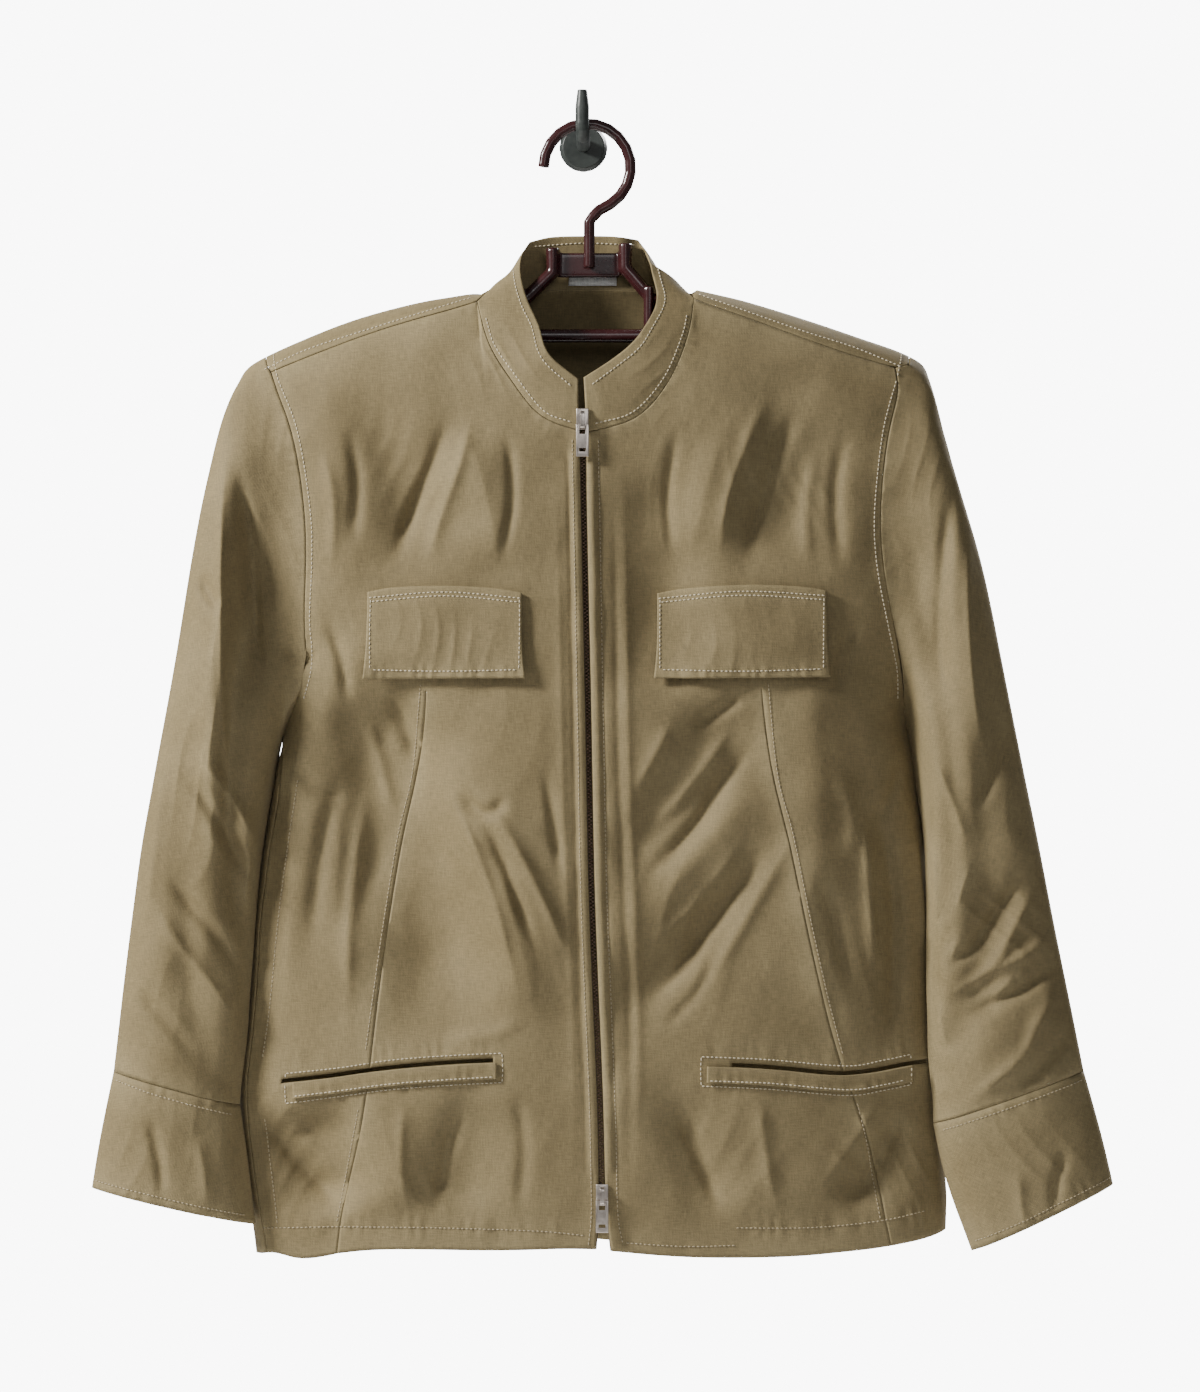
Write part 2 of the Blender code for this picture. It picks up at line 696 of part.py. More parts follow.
def fronts_and_back():
    """The three body panels, with their zip tapes, flaps and welts."""
    left, right = front_grid(1), front_grid(2)
    back = back_grid(left, right)
    for grid in (left, right):
        part_columns(grid, 0, 1)
        part_row(grid[-1], grid[-2])
    part_columns(back, 0, 1)
    part_columns(back, -1, -2)
    part_row(back[-1], back[-2])
    n_left = grid_normals(left, False, 1)
    n_right = grid_normals(right, False, -1)
    n_back = grid_normals(back, False, -1)
    for row in range(ROW_UNDERARM + 1):
        share_normal(n_left, row, 0, n_back, row, 0)
        share_normal(n_right, row, 0, n_back, row, -1)
    for column in range(COL_NECK + 1):
        share_normal(n_left, -1, column, n_back, -1, column)
        share_normal(n_right, -1, column, n_back, -1, -1 - column)
    for name, grid, normals, flip, slot in (("front_left", left, n_left, 1, LEFT_SLOT),
                                            ("front_right", right, n_right, -1, RIGHT_SLOT)):
        skip = {(ROW_WELT, at) for at in range(*slot)}
        cloth(name, grid, inside(grid, normals), TWILL, flip=flip,
              slit=(COL_DART, ROW_DART), skip=skip)
    cloth("back", back, inside(back, n_back), TWILL, flip=-1)
    return (left, n_left), (right, n_right), (back, n_back)


def flap(name, column, grid, normals, outline, flip):
    x0, x1, top0, top1, low0, low1 = outline
    columns, rows = 10, 4
    spots = []
    for r in range(rows + 1):
        line = []
        for c in range(columns + 1):
            s, t = c / columns, r / rows
            if flip < 0:
                s = 1 - s
            top = mix(top0, top1, s) + FLAP_CROWN * sin(pi * s) ** 0.6
            z = mix(mix(low0, low1, s), top, t)
            draw = 2.5 * sin(pi * min(t, 0.5)) * (1 - 2 * s)
            line.append((*locate(column, mix(x0, x1, s) + draw, z), FLAP_STAND * MM * (1 - t) ** 0.7))
        spots.append(line)
    outer, inner = overlay(grid, normals, spots, LAY_LIFT, FLAP_WALL)
    cloth(name, outer, inner, TWILL, flip=flip)


def welt(name, column, grid, normals, ends, flip):
    spots = []
    for drop in (WELT_DROP, WELT_DROP / 2, -1.0):
        line = []
        for c in range(13):
            s = c / 12 if flip > 0 else 1 - c / 12
            x = mix(*ends, s)
            z = cubic(WELT_LINE, x, 1) - SLOT_HEIGHT - drop
            at, row = locate(column, x, z)
            line.append((at, min(row, ROW_WELT), 0.0))
        spots.append(line)
    outer, inner = overlay(grid, normals, spots, LAY_LIFT, WELT_WALL)
    cloth(name, outer, inner, TWILL_DARK, flip=flip)


def meet_seam(seam, rows, own_normals):
    """First row of a piece that is sewn to a panel's border, and its normals. Where the two
    fold back on each other the row keeps its own normals and stands a little off the panel."""
    places, normals = [], []
    for (place, normal), after, own in zip(seam, rows[1], own_normals):
        share = min(max((own.dot(normal) - 0.2) / 0.5, 0.0), 1.0)
        stand = normal * FOLD_STAND * (1 - share)
        places.append(place + (after - place).normalized() * SEAM_GAP + stand)
        normals.append(own.lerp(normal, share).normalized())
    return places, normals


def sleeve_point(section, angle, rise=0.0):
    ox, oz, ix, iz, depth, y = section
    half = Vector(((ox - ix) / 2, 0.0, (oz - iz) / 2))
    middle = Vector(((ox + ix) / 2, y, (oz + iz) / 2))
    spoke = half * cos(angle) + Vector((0.0, -depth * sin(angle), 0.0))
    place = middle + spoke * (1 + rise / spoke.length)
    return Vector((place.x * MM, HANG_Y + place.y * MM, place.z * MM))


def sleeve_rise(folds, ring, angle):
    rise = 0.0
    for width, path in folds:
        if path[0][0] <= ring <= path[-1][0]:
            off = (angle - radians(cubic(path, ring, 1)) + pi) % (2 * pi) - pi
            rise += cubic(path, ring, 2) * exp(-((off / radians(width)) ** 2))
    return rise


def sleeve(label, sections, cuff_sections, folds, front, back, back_column, flip):
    """Both halves of a sleeve and its cuff, from the armhole down."""
    (f_rows, f_normals), (b_rows, b_normals) = front, back
    over = [(b_rows[r][back_column], b_normals[r][back_column])
            for r in range(SLEEVE_SEAM_ROW, len(b_rows))]
    over += [(f_rows[r][0], f_normals[r][0]) for r in range(ROW_SEAM - 1, ROW_UNDERARM - 1, -1)]
    under = [(b_rows[r][back_column], b_normals[r][back_column])
             for r in range(ROW_UNDERARM + 1, SLEEVE_SEAM_ROW)]
    start = over + under
    top, low = sections[0][1], sections[0][3]
    angles = []
    for i, (place, _) in enumerate(start):
        turn = acos(min(max(1 - 2 * (top - place.z / MM) / (top - low), -1.0), 1.0))
        angles.append(-turn if place.y > HANG_Y and i not in (len(over) - 1,) else turn)
    rings = []
    for k, section in enumerate(sections[1:], 1):
        hold = max(1 - k / HEAD_RINGS, 0.0) ** 1.5
        ring = []
        for (place, _), angle in zip(start, angles):
            offset = place - sleeve_point(sections[0], angle)
            ring.append(sleeve_point(section, angle, sleeve_rise(folds, k, angle)) + offset * hold)
        rings.append(ring)
    rings.insert(0, [place for place, _ in start])
    rings[0], first_normals = meet_seam(start, rings, grid_normals(rings, True, flip)[0])
    normals = grid_normals(rings, True, flip)
    normals[0] = first_normals
    inner = inside(rings, normals)
    seam = len(over)
    for name, pick in (("front", range(seam)), ("back", list(range(seam - 1, len(start))) + [0])):
        outer_half = [[ring[i] for i in pick] for ring in rings]
        inner_half = [[ring[i] for i in pick] for ring in inner]
        for half in (outer_half, inner_half):
            part_columns(half, 0, 1)
            part_columns(half, -1, -2)
        cloth("sleeve_%s_%s" % (label, name), outer_half, inner_half, TWILL, flip=flip)
    cuff_rings = [[sleeve_point(section, angle) for angle in angles] for section in cuff_sections]
    last = rings[-1]
    for i, angle in enumerate(angles):
        rise = sleeve_rise(folds, len(sections) - 1, angle)
        cuff_rings[0][i] = last[i] + (cuff_rings[1][i] - last[i]).normalized() * GAP * 1.5
        cuff_rings[1][i] = sleeve_point(cuff_sections[1], angle, rise / 2)
    cuff_normals = grid_normals(cuff_rings, True, flip)
    cuff_normals[0] = normals[-1]
    cloth("cuff_" + label, cuff_rings, inside(cuff_rings, cuff_normals), TWILL,
          closed=True, flip=flip)


def collar(left, right, back):
    """Stand collar on the neckline, from zip edge round to zip edge."""
    seam = [(left[0][-1][c], left[1][-1][c]) for c in range(COL_FRONT, COL_NECK - 1, -1)]
    seam += [(back[0][-1][c], back[1][-1][c]) for c in range(COL_NECK + 1, COL_NECK + BACK_NECK_COLS)]
    seam += [(right[0][-1][c], right[1][-1][c]) for c in range(COL_NECK, COL_FRONT + 1)]
    rows = [[] for _ in range(COLLAR_ROWS + 1)]
    for i, (place, _) in enumerate(seam):
        share = i / (len(seam) - 1)
        top = Vector((cubic(COLLAR_TOP, share, 1) * MM, HANG_Y + cubic(COLLAR_TOP, share, 3) * MM,
                      cubic(COLLAR_TOP, share, 2) * MM))
        low = place
        out = Vector((low.x, low.y - HANG_Y, 0.0)).normalized()
        for r in range(COLLAR_ROWS + 1):
            t = r / COLLAR_ROWS
            rows[r].append(low.lerp(top, t) + out * COLLAR_BOW * MM * sin(pi * t))
    rows[0], first_normals = meet_seam(seam, rows, grid_normals(rows, False, -1)[0])
    normals = grid_normals(rows, False, -1)
    normals[0] = first_normals
    cloth("collar", rows, inside(rows, normals), TWILL, flip=-1)
    return rows, normals


for old in list(bpy.data.objects):
    bpy.data.objects.remove(old, do_unlink=True)

left_panel, right_panel, back_panel = fronts_and_back()
flap("flap_left", 1, *left_panel, LEFT_FLAP, 1)
flap("flap_right", 2, *right_panel, RIGHT_FLAP, -1)
welt("welt_left", 1, *left_panel, LEFT_WELT, 1)
welt("welt_right", 2, *right_panel, RIGHT_WELT, -1)
sleeve("left", LEFT_SLEEVE, LEFT_CUFF, LEFT_SLEEVE_FOLDS, left_panel, back_panel, 0, -1)
sleeve("right", RIGHT_SLEEVE, RIGHT_CUFF, RIGHT_SLEEVE_FOLDS, right_panel, back_panel, -1, 1)
collar_panel = collar(left_panel, right_panel, back_panel)


# Zip: tape and teeth behind the free edges of the fronts
TAPE_WIDTH = 0.007
TAPE_IN_COLLAR = 0.0035
TAPE_SINK = CLOTH + 0.0006      # front of the tapes behind the fronts' outer face
TAPE_REACH = 0.0007
TAPE_WALL = 0.0008
CHAIN_WIDTH = 0.0024
CHAIN_WALL = 0.0020
UPPER_ZIP_ROW = ROW_SEAM        # the teeth end at the collar seam, under the upper slider
SLIDER_Z = {"upper": -194.5, "lower": -722.0}
SLIDER_SIZE = Vector((0.0084, 0.0013, 0.0145))
SLIDER_LIFT = 0.0008
SLIDER_REAR_LIFT = 0.0013
POST = Vector((0.0024, 0.0, 0.0030))
CROWN_WIDTH = 0.0028
CROWN_OUTER = 0.0026
CROWN_INNER = 0.00125
CROWN_LENGTH = 0.0070
PIN_DROP = 0.0042               # tab pin below the slider's middle
TAB_WIDTH = 0.0087
TAB_LENGTH = 0.0220
TAB_WALL = 0.0013
TAB_BAR = 0.0012
TAB_WINDOW = Vector((0.0040, 0.0, 0.0054))
TAB_HOLE = Vector((0.0046, 0.0, 0.0024))
TAB_HOLE_UP = 0.0046            # middle of the lower hole above the tab's end


def zip_edges(grid, normals, collar_rows, collar_normals, at, collar_at):
    """Edge point, direction out of the cloth and normal, from the hem to the collar's top."""
    line = []
    for points, normal in zip(grid, normals):
        line.append((points[at], (points[at] - points[at - 1]).normalized(), normal[at]))
    step = 1 if collar_at == 0 else -1
    for points, normal in zip(collar_rows[1:], collar_normals[1:]):
        out = (points[collar_at] - points[collar_at + step]).normalized()
        line.append((points[collar_at], out, normal[collar_at]))
    return line


def zip_parts():
    lines = {}
    for label, panel, collar_at in (("left", left_panel, 0), ("right", right_panel, -1)):
        line = zip_edges(*panel, *collar_panel, COL_FRONT, collar_at)
        lines[label] = line
        outer, inner = [], []
        for row, (edge, out, normal) in enumerate(line):
            across = Vector((out.x, out.y, 0.0)).normalized()
            face = edge - normal * TAPE_SINK
            width, reach = TAPE_WIDTH, TAPE_REACH
            if row >= UPPER_ZIP_ROW:
                width, reach = TAPE_IN_COLLAR, 0.0
            ends = (face - across * width, face + across * reach)
            if label == "right":
                ends = ends[::-1]
            outer.append(list(ends))
            inner.append([place - normal * TAPE_WALL for place in ends])
        cloth("zip_tape_" + label, outer, inner, TAPE)
    chain_top = SLIDER_Z["upper"] * MM + SLIDER_SIZE.z / 2 - POST.z - GAP
    chain_low = SLIDER_Z["lower"] * MM - SLIDER_SIZE.z / 2 + POST.z + GAP
    middles = []
    for (edge_l, _, normal_l), (edge_r, _, normal_r) in zip(lines["left"], lines["right"]):
        normal = (normal_l + normal_r).normalized()
        sunk = TAPE_SINK + TAPE_WALL / 2
        middles.append(((edge_l + edge_r) / 2 - normal * sunk, normal))
    picked = []
    for (low, n_low), (high, n_high) in zip(middles, middles[1:]):
        for level in (chain_low, chain_top):
            if low.z < level <= high.z:
                t = (level - low.z) / (high.z - low.z)
                picked.append((low.lerp(high, t), n_low.lerp(n_high, t).normalized()))
        if chain_low < high.z < chain_top - 0.001:
            picked.append((high, n_high))
    picked.sort(key=lambda pair: pair[0].z)
    outer, inner = [], []
    for place, normal in picked:
        half = Vector((CHAIN_WIDTH / 2, 0.0, 0.0))
        rise = normal * CHAIN_WALL / 2
        outer.append([place - half + rise, place + half + rise])
        inner.append([place - half - rise, place + half - rise])
    cloth("zip_chain", outer, inner, METAL)
    return middles


def box_object(name, low, high, finish, bevel=0.0, segments=2):
    bm = bmesh.new()
    bmesh.ops.create_cube(bm, size=1.0)
    size = high - low
    bmesh.ops.scale(bm, vec=size, verts=bm.verts)
    bmesh.ops.translate(bm, vec=(low + high) / 2, verts=bm.verts)
    if bevel:
        bmesh.ops.bevel(bm, geom=bm.edges[:], offset=bevel, segments=segments, profile=0.5,
                        affect="EDGES", material=-1)
    return link_mesh(name, bm, finish)


def cutter_of(made):
    made.hide_render = True
    made.display_type = "WIRE"
    return made


def combine(made, other, operation):
    cut = made.modifiers.new(operation.title(), "BOOLEAN")
    cut.operation = operation
    cut.solver = "EXACT"
    cut.object = cutter_of(other)


def stadium_ring(name, middle, outer, hole, length, width, finish):
    """A crown: a long ring in the YZ plane round the tab's pin, open through X."""
    def outline(radius):
        points = []
        for i in range(17):
            turn = pi * i / 8
            up = length if 0 <= i <= 8 else 0.0
            points.append(Vector((0.0, -cos(turn) * radius, sin(turn) * radius + up)))
        return points[:-1]

    bm = bmesh.new()
    rings = []
    for x in (-width / 2, width / 2):
        for radius in (outer, hole):
            rings.append([bm.verts.new(middle + p + Vector((x, 0.0, 0.0))) for p in outline(radius)])
    order = (rings[0], rings[1], rings[3], rings[2])
    count = len(rings[0])
    for a, b in zip(order, order[1:] + order[:1]):
        for i in range(count):
            after = (i + 1) % count
            bm.faces.new((a[i], a[after], b[after], b[i]))
    bmesh.ops.recalc_face_normals(bm, faces=bm.faces[:])
    return link_mesh(name, bm, finish)


def zip_slider(label, middles, up):
    """Slider and pull tab. up is 1 where the teeth part above the slider, -1 where below."""
    z = SLIDER_Z[label] * MM
    low = [m for m, _ in middles if m.z <= z][-1]
    high = [m for m, _ in middles if m.z > z][0]
    centre = low.lerp(high, (z - low.z) / (high.z - low.z))
    face_y = centre.y - TAPE_WALL / 2 - TAPE_SINK - SLIDER_LIFT
    rear_y = centre.y + CHAIN_WALL / 2 + SLIDER_REAR_LIFT
    half = Vector((SLIDER_SIZE.x / 2, 0.0, SLIDER_SIZE.z / 2))
    thick = Vector((0.0, SLIDER_SIZE.y, 0.0))
    front_face = Vector((centre.x, face_y, z))
    rear_face = Vector((centre.x, rear_y, z))
    body = box_object("slider_" + label, front_face - half - thick, front_face + half, METAL, 0.0005)
    rear = box_object("slider_rear_" + label, rear_face - half, rear_face + half + thick, METAL, 0.0005)
    post_z = z + up * (half.z - POST.z / 2)
    post_half = Vector((POST.x / 2, 0.0, POST.z / 2 - 0.0004))
    post = box_object("slider_post_" + label,
                      Vector((centre.x, face_y - thick.y / 2, post_z)) - post_half,
                      Vector((centre.x, rear_y + thick.y / 2, post_z)) + post_half, METAL)
    pin = Vector((centre.x, face_y - thick.y - CROWN_INNER - GAP, z - PIN_DROP))
    crown = stadium_ring("crown_" + label, pin, CROWN_OUTER, CROWN_INNER, CROWN_LENGTH,
                         CROWN_WIDTH, METAL)
    for other in (post, rear, crown):
        combine(body, other, "UNION")
    low_end = TAB_BAR / 2 - TAB_LENGTH
    tab = box_object("tab_" + label, Vector((-TAB_WIDTH / 2, -TAB_WALL / 2, low_end)),
                     Vector((TAB_WIDTH / 2, TAB_WALL / 2, TAB_BAR / 2)), METAL, 0.0003, 1)
    tab.location = pin
    for part, size, mid_z in (("window", TAB_WINDOW, -TAB_BAR / 2 - TAB_WINDOW.z / 2),
                              ("hole", TAB_HOLE, low_end + TAB_HOLE_UP)):
        reach = Vector((size.x / 2, TAB_WALL, size.z / 2))
        middle = Vector((0.0, 0.0, mid_z))
        hole = box_object("tab_%s_%s" % (part, label), middle - reach, middle + reach, METAL)
        hole.location = pin
        combine(tab, hole, "DIFFERENCE")


# Hanger, in millimetres from the hanger's plane: its hook, plate, posts, arms and bar
ROD = 4.0
HOOK_MIDDLE = (2.7, -19.0)
HOOK_RADIUS = 30.0
HOOK_END = -58.0
STEM_X = 4.2
STEM_LOW = -88.0
PLATE = (-17.0, 25.2, -94.5, -77.5)
PLATE_DEPTH = (4.4, 9.0)
ARM_DROP = 12.5         # middle of the arms below the shoulder line
ARM_TIP_DROP = 6.0      # and this much more at their tips
ARM_DEPTH = 6.0
ARM_RISE = 5.0
ARM_Y = 1.0
LEFT_ARM = (-21.0, -74.0, -198.0)
RIGHT_ARM = (29.0, -71.0, 203.0)
BAR_Z = -135.0
BAR_ENDS = (-150.0, 156.0)
BAR_RISE = 5.0
LEG_X = (-45.0, 45.5)
LEG_TOP = -101.0


def tube(name, path, rise, depth, sides, finish):
    """Sweep of an oval section along a path in a plane of constant y, with flat ends."""
    bm = bmesh.new()
    rings = []
    for i, place in enumerate(path):
        before, after = path[max(i - 1, 0)], path[min(i + 1, len(path) - 1)]
        along = (after - before).normalized()
        across = Vector((along.z, 0.0, -along.x))
        ring = []
        for k in range(sides):
            turn = 2 * pi * (k + 0.5) / sides
            ring.append(bm.verts.new(place + across * cos(turn) * rise
                                     + Vector((0.0, sin(turn) * depth, 0.0))))
        rings.append(ring)
    for a, b in zip(rings, rings[1:]):
        for k in range(sides):
            bm.faces.new((a[k], a[k - 1], b[k - 1], b[k]))
    bm.faces.new(rings[0])
    bm.faces.new(reversed(rings[-1]))
    bmesh.ops.recalc_face_normals(bm, faces=bm.faces[:])
    return link_mesh(name, bm, finish)


def at_hanger(x, y, z):
    return Vector((x * MM, HANG_Y + y * MM, z * MM))


def hanger():
    path = []
    for i in range(15):
        turn = radians(mix(180.0, HOOK_END, i / 14))
        path.append(at_hanger(HOOK_MIDDLE[0] + HOOK_RADIUS * cos(turn), 0.0,
                              HOOK_MIDDLE[1] + HOOK_RADIUS * sin(turn)))
    end = path[-1] / MM
    for t in (0.35, 0.7, 1.0):
        path.append(at_hanger(mix(end.x, STEM_X, t ** 0.6), 0.0, mix(end.z, end.z - 12.0, t)))
    path.append(at_hanger(STEM_X, 0.0, STEM_LOW))
    tube("hanger_hook", path, ROD * MM, ROD * MM, 10, PLASTIC)
    body = box_object("hanger_body", at_hanger(PLATE[0], PLATE_DEPTH[0], PLATE[2]),
                      at_hanger(PLATE[1], PLATE_DEPTH[1], PLATE[3]), PLASTIC, 0.0008, 1)
    others = []
    for side, (start_x, start_z, tip_x), leg_x in ((-1, LEFT_ARM, LEG_X[0]), (1, RIGHT_ARM, LEG_X[1])):
        points = [at_hanger(start_x, ARM_Y + 4, start_z), at_hanger(start_x, ARM_Y + 4, start_z - 17)]
        for t in (0.1, 0.2, 0.32, 0.45, 0.6, 0.75, 0.9, 1.0):
            x = mix(start_x, tip_x, t)
            drop = ARM_DROP + ARM_TIP_DROP * t ** 4
            points.append(at_hanger(x, ARM_Y + 4 * max(1 - 3 * t, 0.0), top_line(x) - drop))
        others.append(tube("hanger_arm_%d" % side, points, ARM_RISE * MM, ARM_DEPTH * MM, 10, PLASTIC))
        leg = [at_hanger(leg_x, ARM_Y, LEG_TOP), at_hanger(leg_x, ARM_Y, BAR_Z)]
        others.append(tube("hanger_leg_%d" % side, leg, 0.0042, 0.0045, 8, PLASTIC))
    bar = [at_hanger(x, ARM_Y, BAR_Z) for x in BAR_ENDS]
    others.append(tube("hanger_bar", bar, BAR_RISE * MM, BAR_RISE * MM, 8, PLASTIC))
    for other in others:
        combine(body, other, "UNION")


# Wall hook, in metres
BASE_RADIUS = 0.017
BASE_DEPTH = 0.006
PEG_RADIUS = 0.0048
PEG_Z = 0.0013
PRONG_Y = HANG_Y - 0.0095
PRONG_TOP = 0.0335
PRONG_X = -0.0006


def wall_hook():
    bm = bmesh.new()
    bmesh.ops.create_cone(bm, segments=32, radius1=BASE_RADIUS, radius2=BASE_RADIUS * 0.86,
                          depth=BASE_DEPTH, cap_ends=True,
                          matrix=Matrix.Translation((0.0, -BASE_DEPTH / 2, 0.0))
                          @ Matrix.Rotation(radians(90), 4, "X"))
    link_mesh("wall_hook_base", bm, HOOK)
    start = Vector((0.0, -BASE_DEPTH - GAP, PEG_Z))
    corner = Vector((0.0, PRONG_Y, PEG_Z))
    path = [start, Vector((0.0, HANG_Y * 0.6, PEG_Z))]
    for i in range(5):
        turn = radians(90 * i / 4)
        path.append(corner + Vector((PRONG_X * i / 4, 0.009 - 0.009 * sin(turn),
                                     0.009 - 0.009 * cos(turn))))
    path.append(Vector((PRONG_X, PRONG_Y, 0.022)))
    path.append(Vector((PRONG_X, PRONG_Y, PRONG_TOP)))
    bm = bmesh.new()
    rings = []
    for i, place in enumerate(path):
        before, after = path[max(i - 1, 0)], path[min(i + 1, len(path) - 1)]
        along = (after - before).normalized()
        side = Vector((1.0, 0.0, 0.0))
        up = side.cross(along)
        radius = PEG_RADIUS * (1.0 if i < len(path) - 1 else 0.7)
        rings.append([bm.verts.new(place + (side * cos(2 * pi * k / 12) + up * sin(2 * pi * k / 12))
                                   * radius) for k in range(12)])
    for a, b in zip(rings, rings[1:]):
        for k in range(12):
            bm.faces.new((a[k], a[k - 1], b[k - 1], b[k]))
    bm.faces.new(rings[0])
    bm.faces.new(reversed(rings[-1]))
    bmesh.ops.recalc_face_normals(bm, faces=bm.faces[:])
    link_mesh("wall_hook_prong", bm, HOOK)


LABEL_LOW = (-10.0, 12.9, -99.6)
LABEL_HIGH = (23.0, 13.7, -90.5)

zip_middles = zip_parts()
zip_slider("upper", zip_middles, 1)
zip_slider("lower", zip_middles, -1)
hanger()
wall_hook()
box_object("neck_label", at_hanger(*LABEL_LOW), at_hanger(*LABEL_HIGH), WHITE)
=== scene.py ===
from math import cos, pi, radians, sin

import bmesh
import bpy
import numpy as np
from mathutils import Matrix, Vector
from mathutils.bvhtree import BVHTree


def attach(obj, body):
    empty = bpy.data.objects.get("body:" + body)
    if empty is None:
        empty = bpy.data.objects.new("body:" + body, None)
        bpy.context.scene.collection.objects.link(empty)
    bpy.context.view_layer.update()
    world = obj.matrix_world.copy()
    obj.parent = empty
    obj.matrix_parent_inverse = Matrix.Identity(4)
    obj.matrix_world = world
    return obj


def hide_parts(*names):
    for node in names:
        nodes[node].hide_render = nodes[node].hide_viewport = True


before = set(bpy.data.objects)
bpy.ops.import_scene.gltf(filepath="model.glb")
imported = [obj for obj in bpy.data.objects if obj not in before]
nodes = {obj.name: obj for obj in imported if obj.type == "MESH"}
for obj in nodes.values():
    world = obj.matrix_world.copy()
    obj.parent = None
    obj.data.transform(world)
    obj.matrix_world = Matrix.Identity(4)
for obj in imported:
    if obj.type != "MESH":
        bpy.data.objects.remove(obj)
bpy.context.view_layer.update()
mm = 0.001

# Heights and widths in the tables are millimetres: x across as seen from the front, z up.
# The jacket's front faces -Y and the hanger's plane is y = -62.

print("materials")


def newGroup(name, inputs, outputs):
    group = bpy.data.node_groups.new(name, "ShaderNodeTree")
    for label, kind, value in inputs:
        made = group.interface.new_socket(name=label, in_out="INPUT", socket_type=kind)
        if value is not None:
            made.default_value = value
    for label, kind in outputs:
        group.interface.new_socket(name=label, in_out="OUTPUT", socket_type=kind)
    return group, group.nodes.new("NodeGroupInput"), group.nodes.new("NodeGroupOutput")


def addNode(tree, kind, values=(), **settings):
    node = tree.nodes.new(kind)
    for key, value in settings.items():
        setattr(node, key, value)
    for key, value in dict(values).items():
        node.inputs[key].default_value = value
    return node


def mathNode(tree, operation, first, second=None):
    node = tree.nodes.new("ShaderNodeMath")
    node.operation = operation
    for slot, value in enumerate((first, second)):
        if hasattr(value, "links"):
            tree.links.new(value, node.inputs[slot])
        elif value is not None:
            node.inputs[slot].default_value = value
    return node.outputs[0]


def mixColor(tree, factor, first, second, blend="MIX"):
    node = tree.nodes.new("ShaderNodeMix")
    node.data_type = "RGBA"
    node.blend_type = blend
    for socket, value in ((node.inputs[0], factor), (node.inputs[6], first), (node.inputs[7], second)):
        if hasattr(value, "links"):
            tree.links.new(value, socket)
        else:
            socket.default_value = value
    return node.outputs[2]


def spread(tree, value, low, high, toLow=0.0, toHigh=1.0):
    node = addNode(tree, "ShaderNodeMapRange",
                   {"From Min": low, "From Max": high, "To Min": toLow, "To Max": toHigh})
    tree.links.new(value, node.inputs["Value"])
    return node.outputs["Result"]


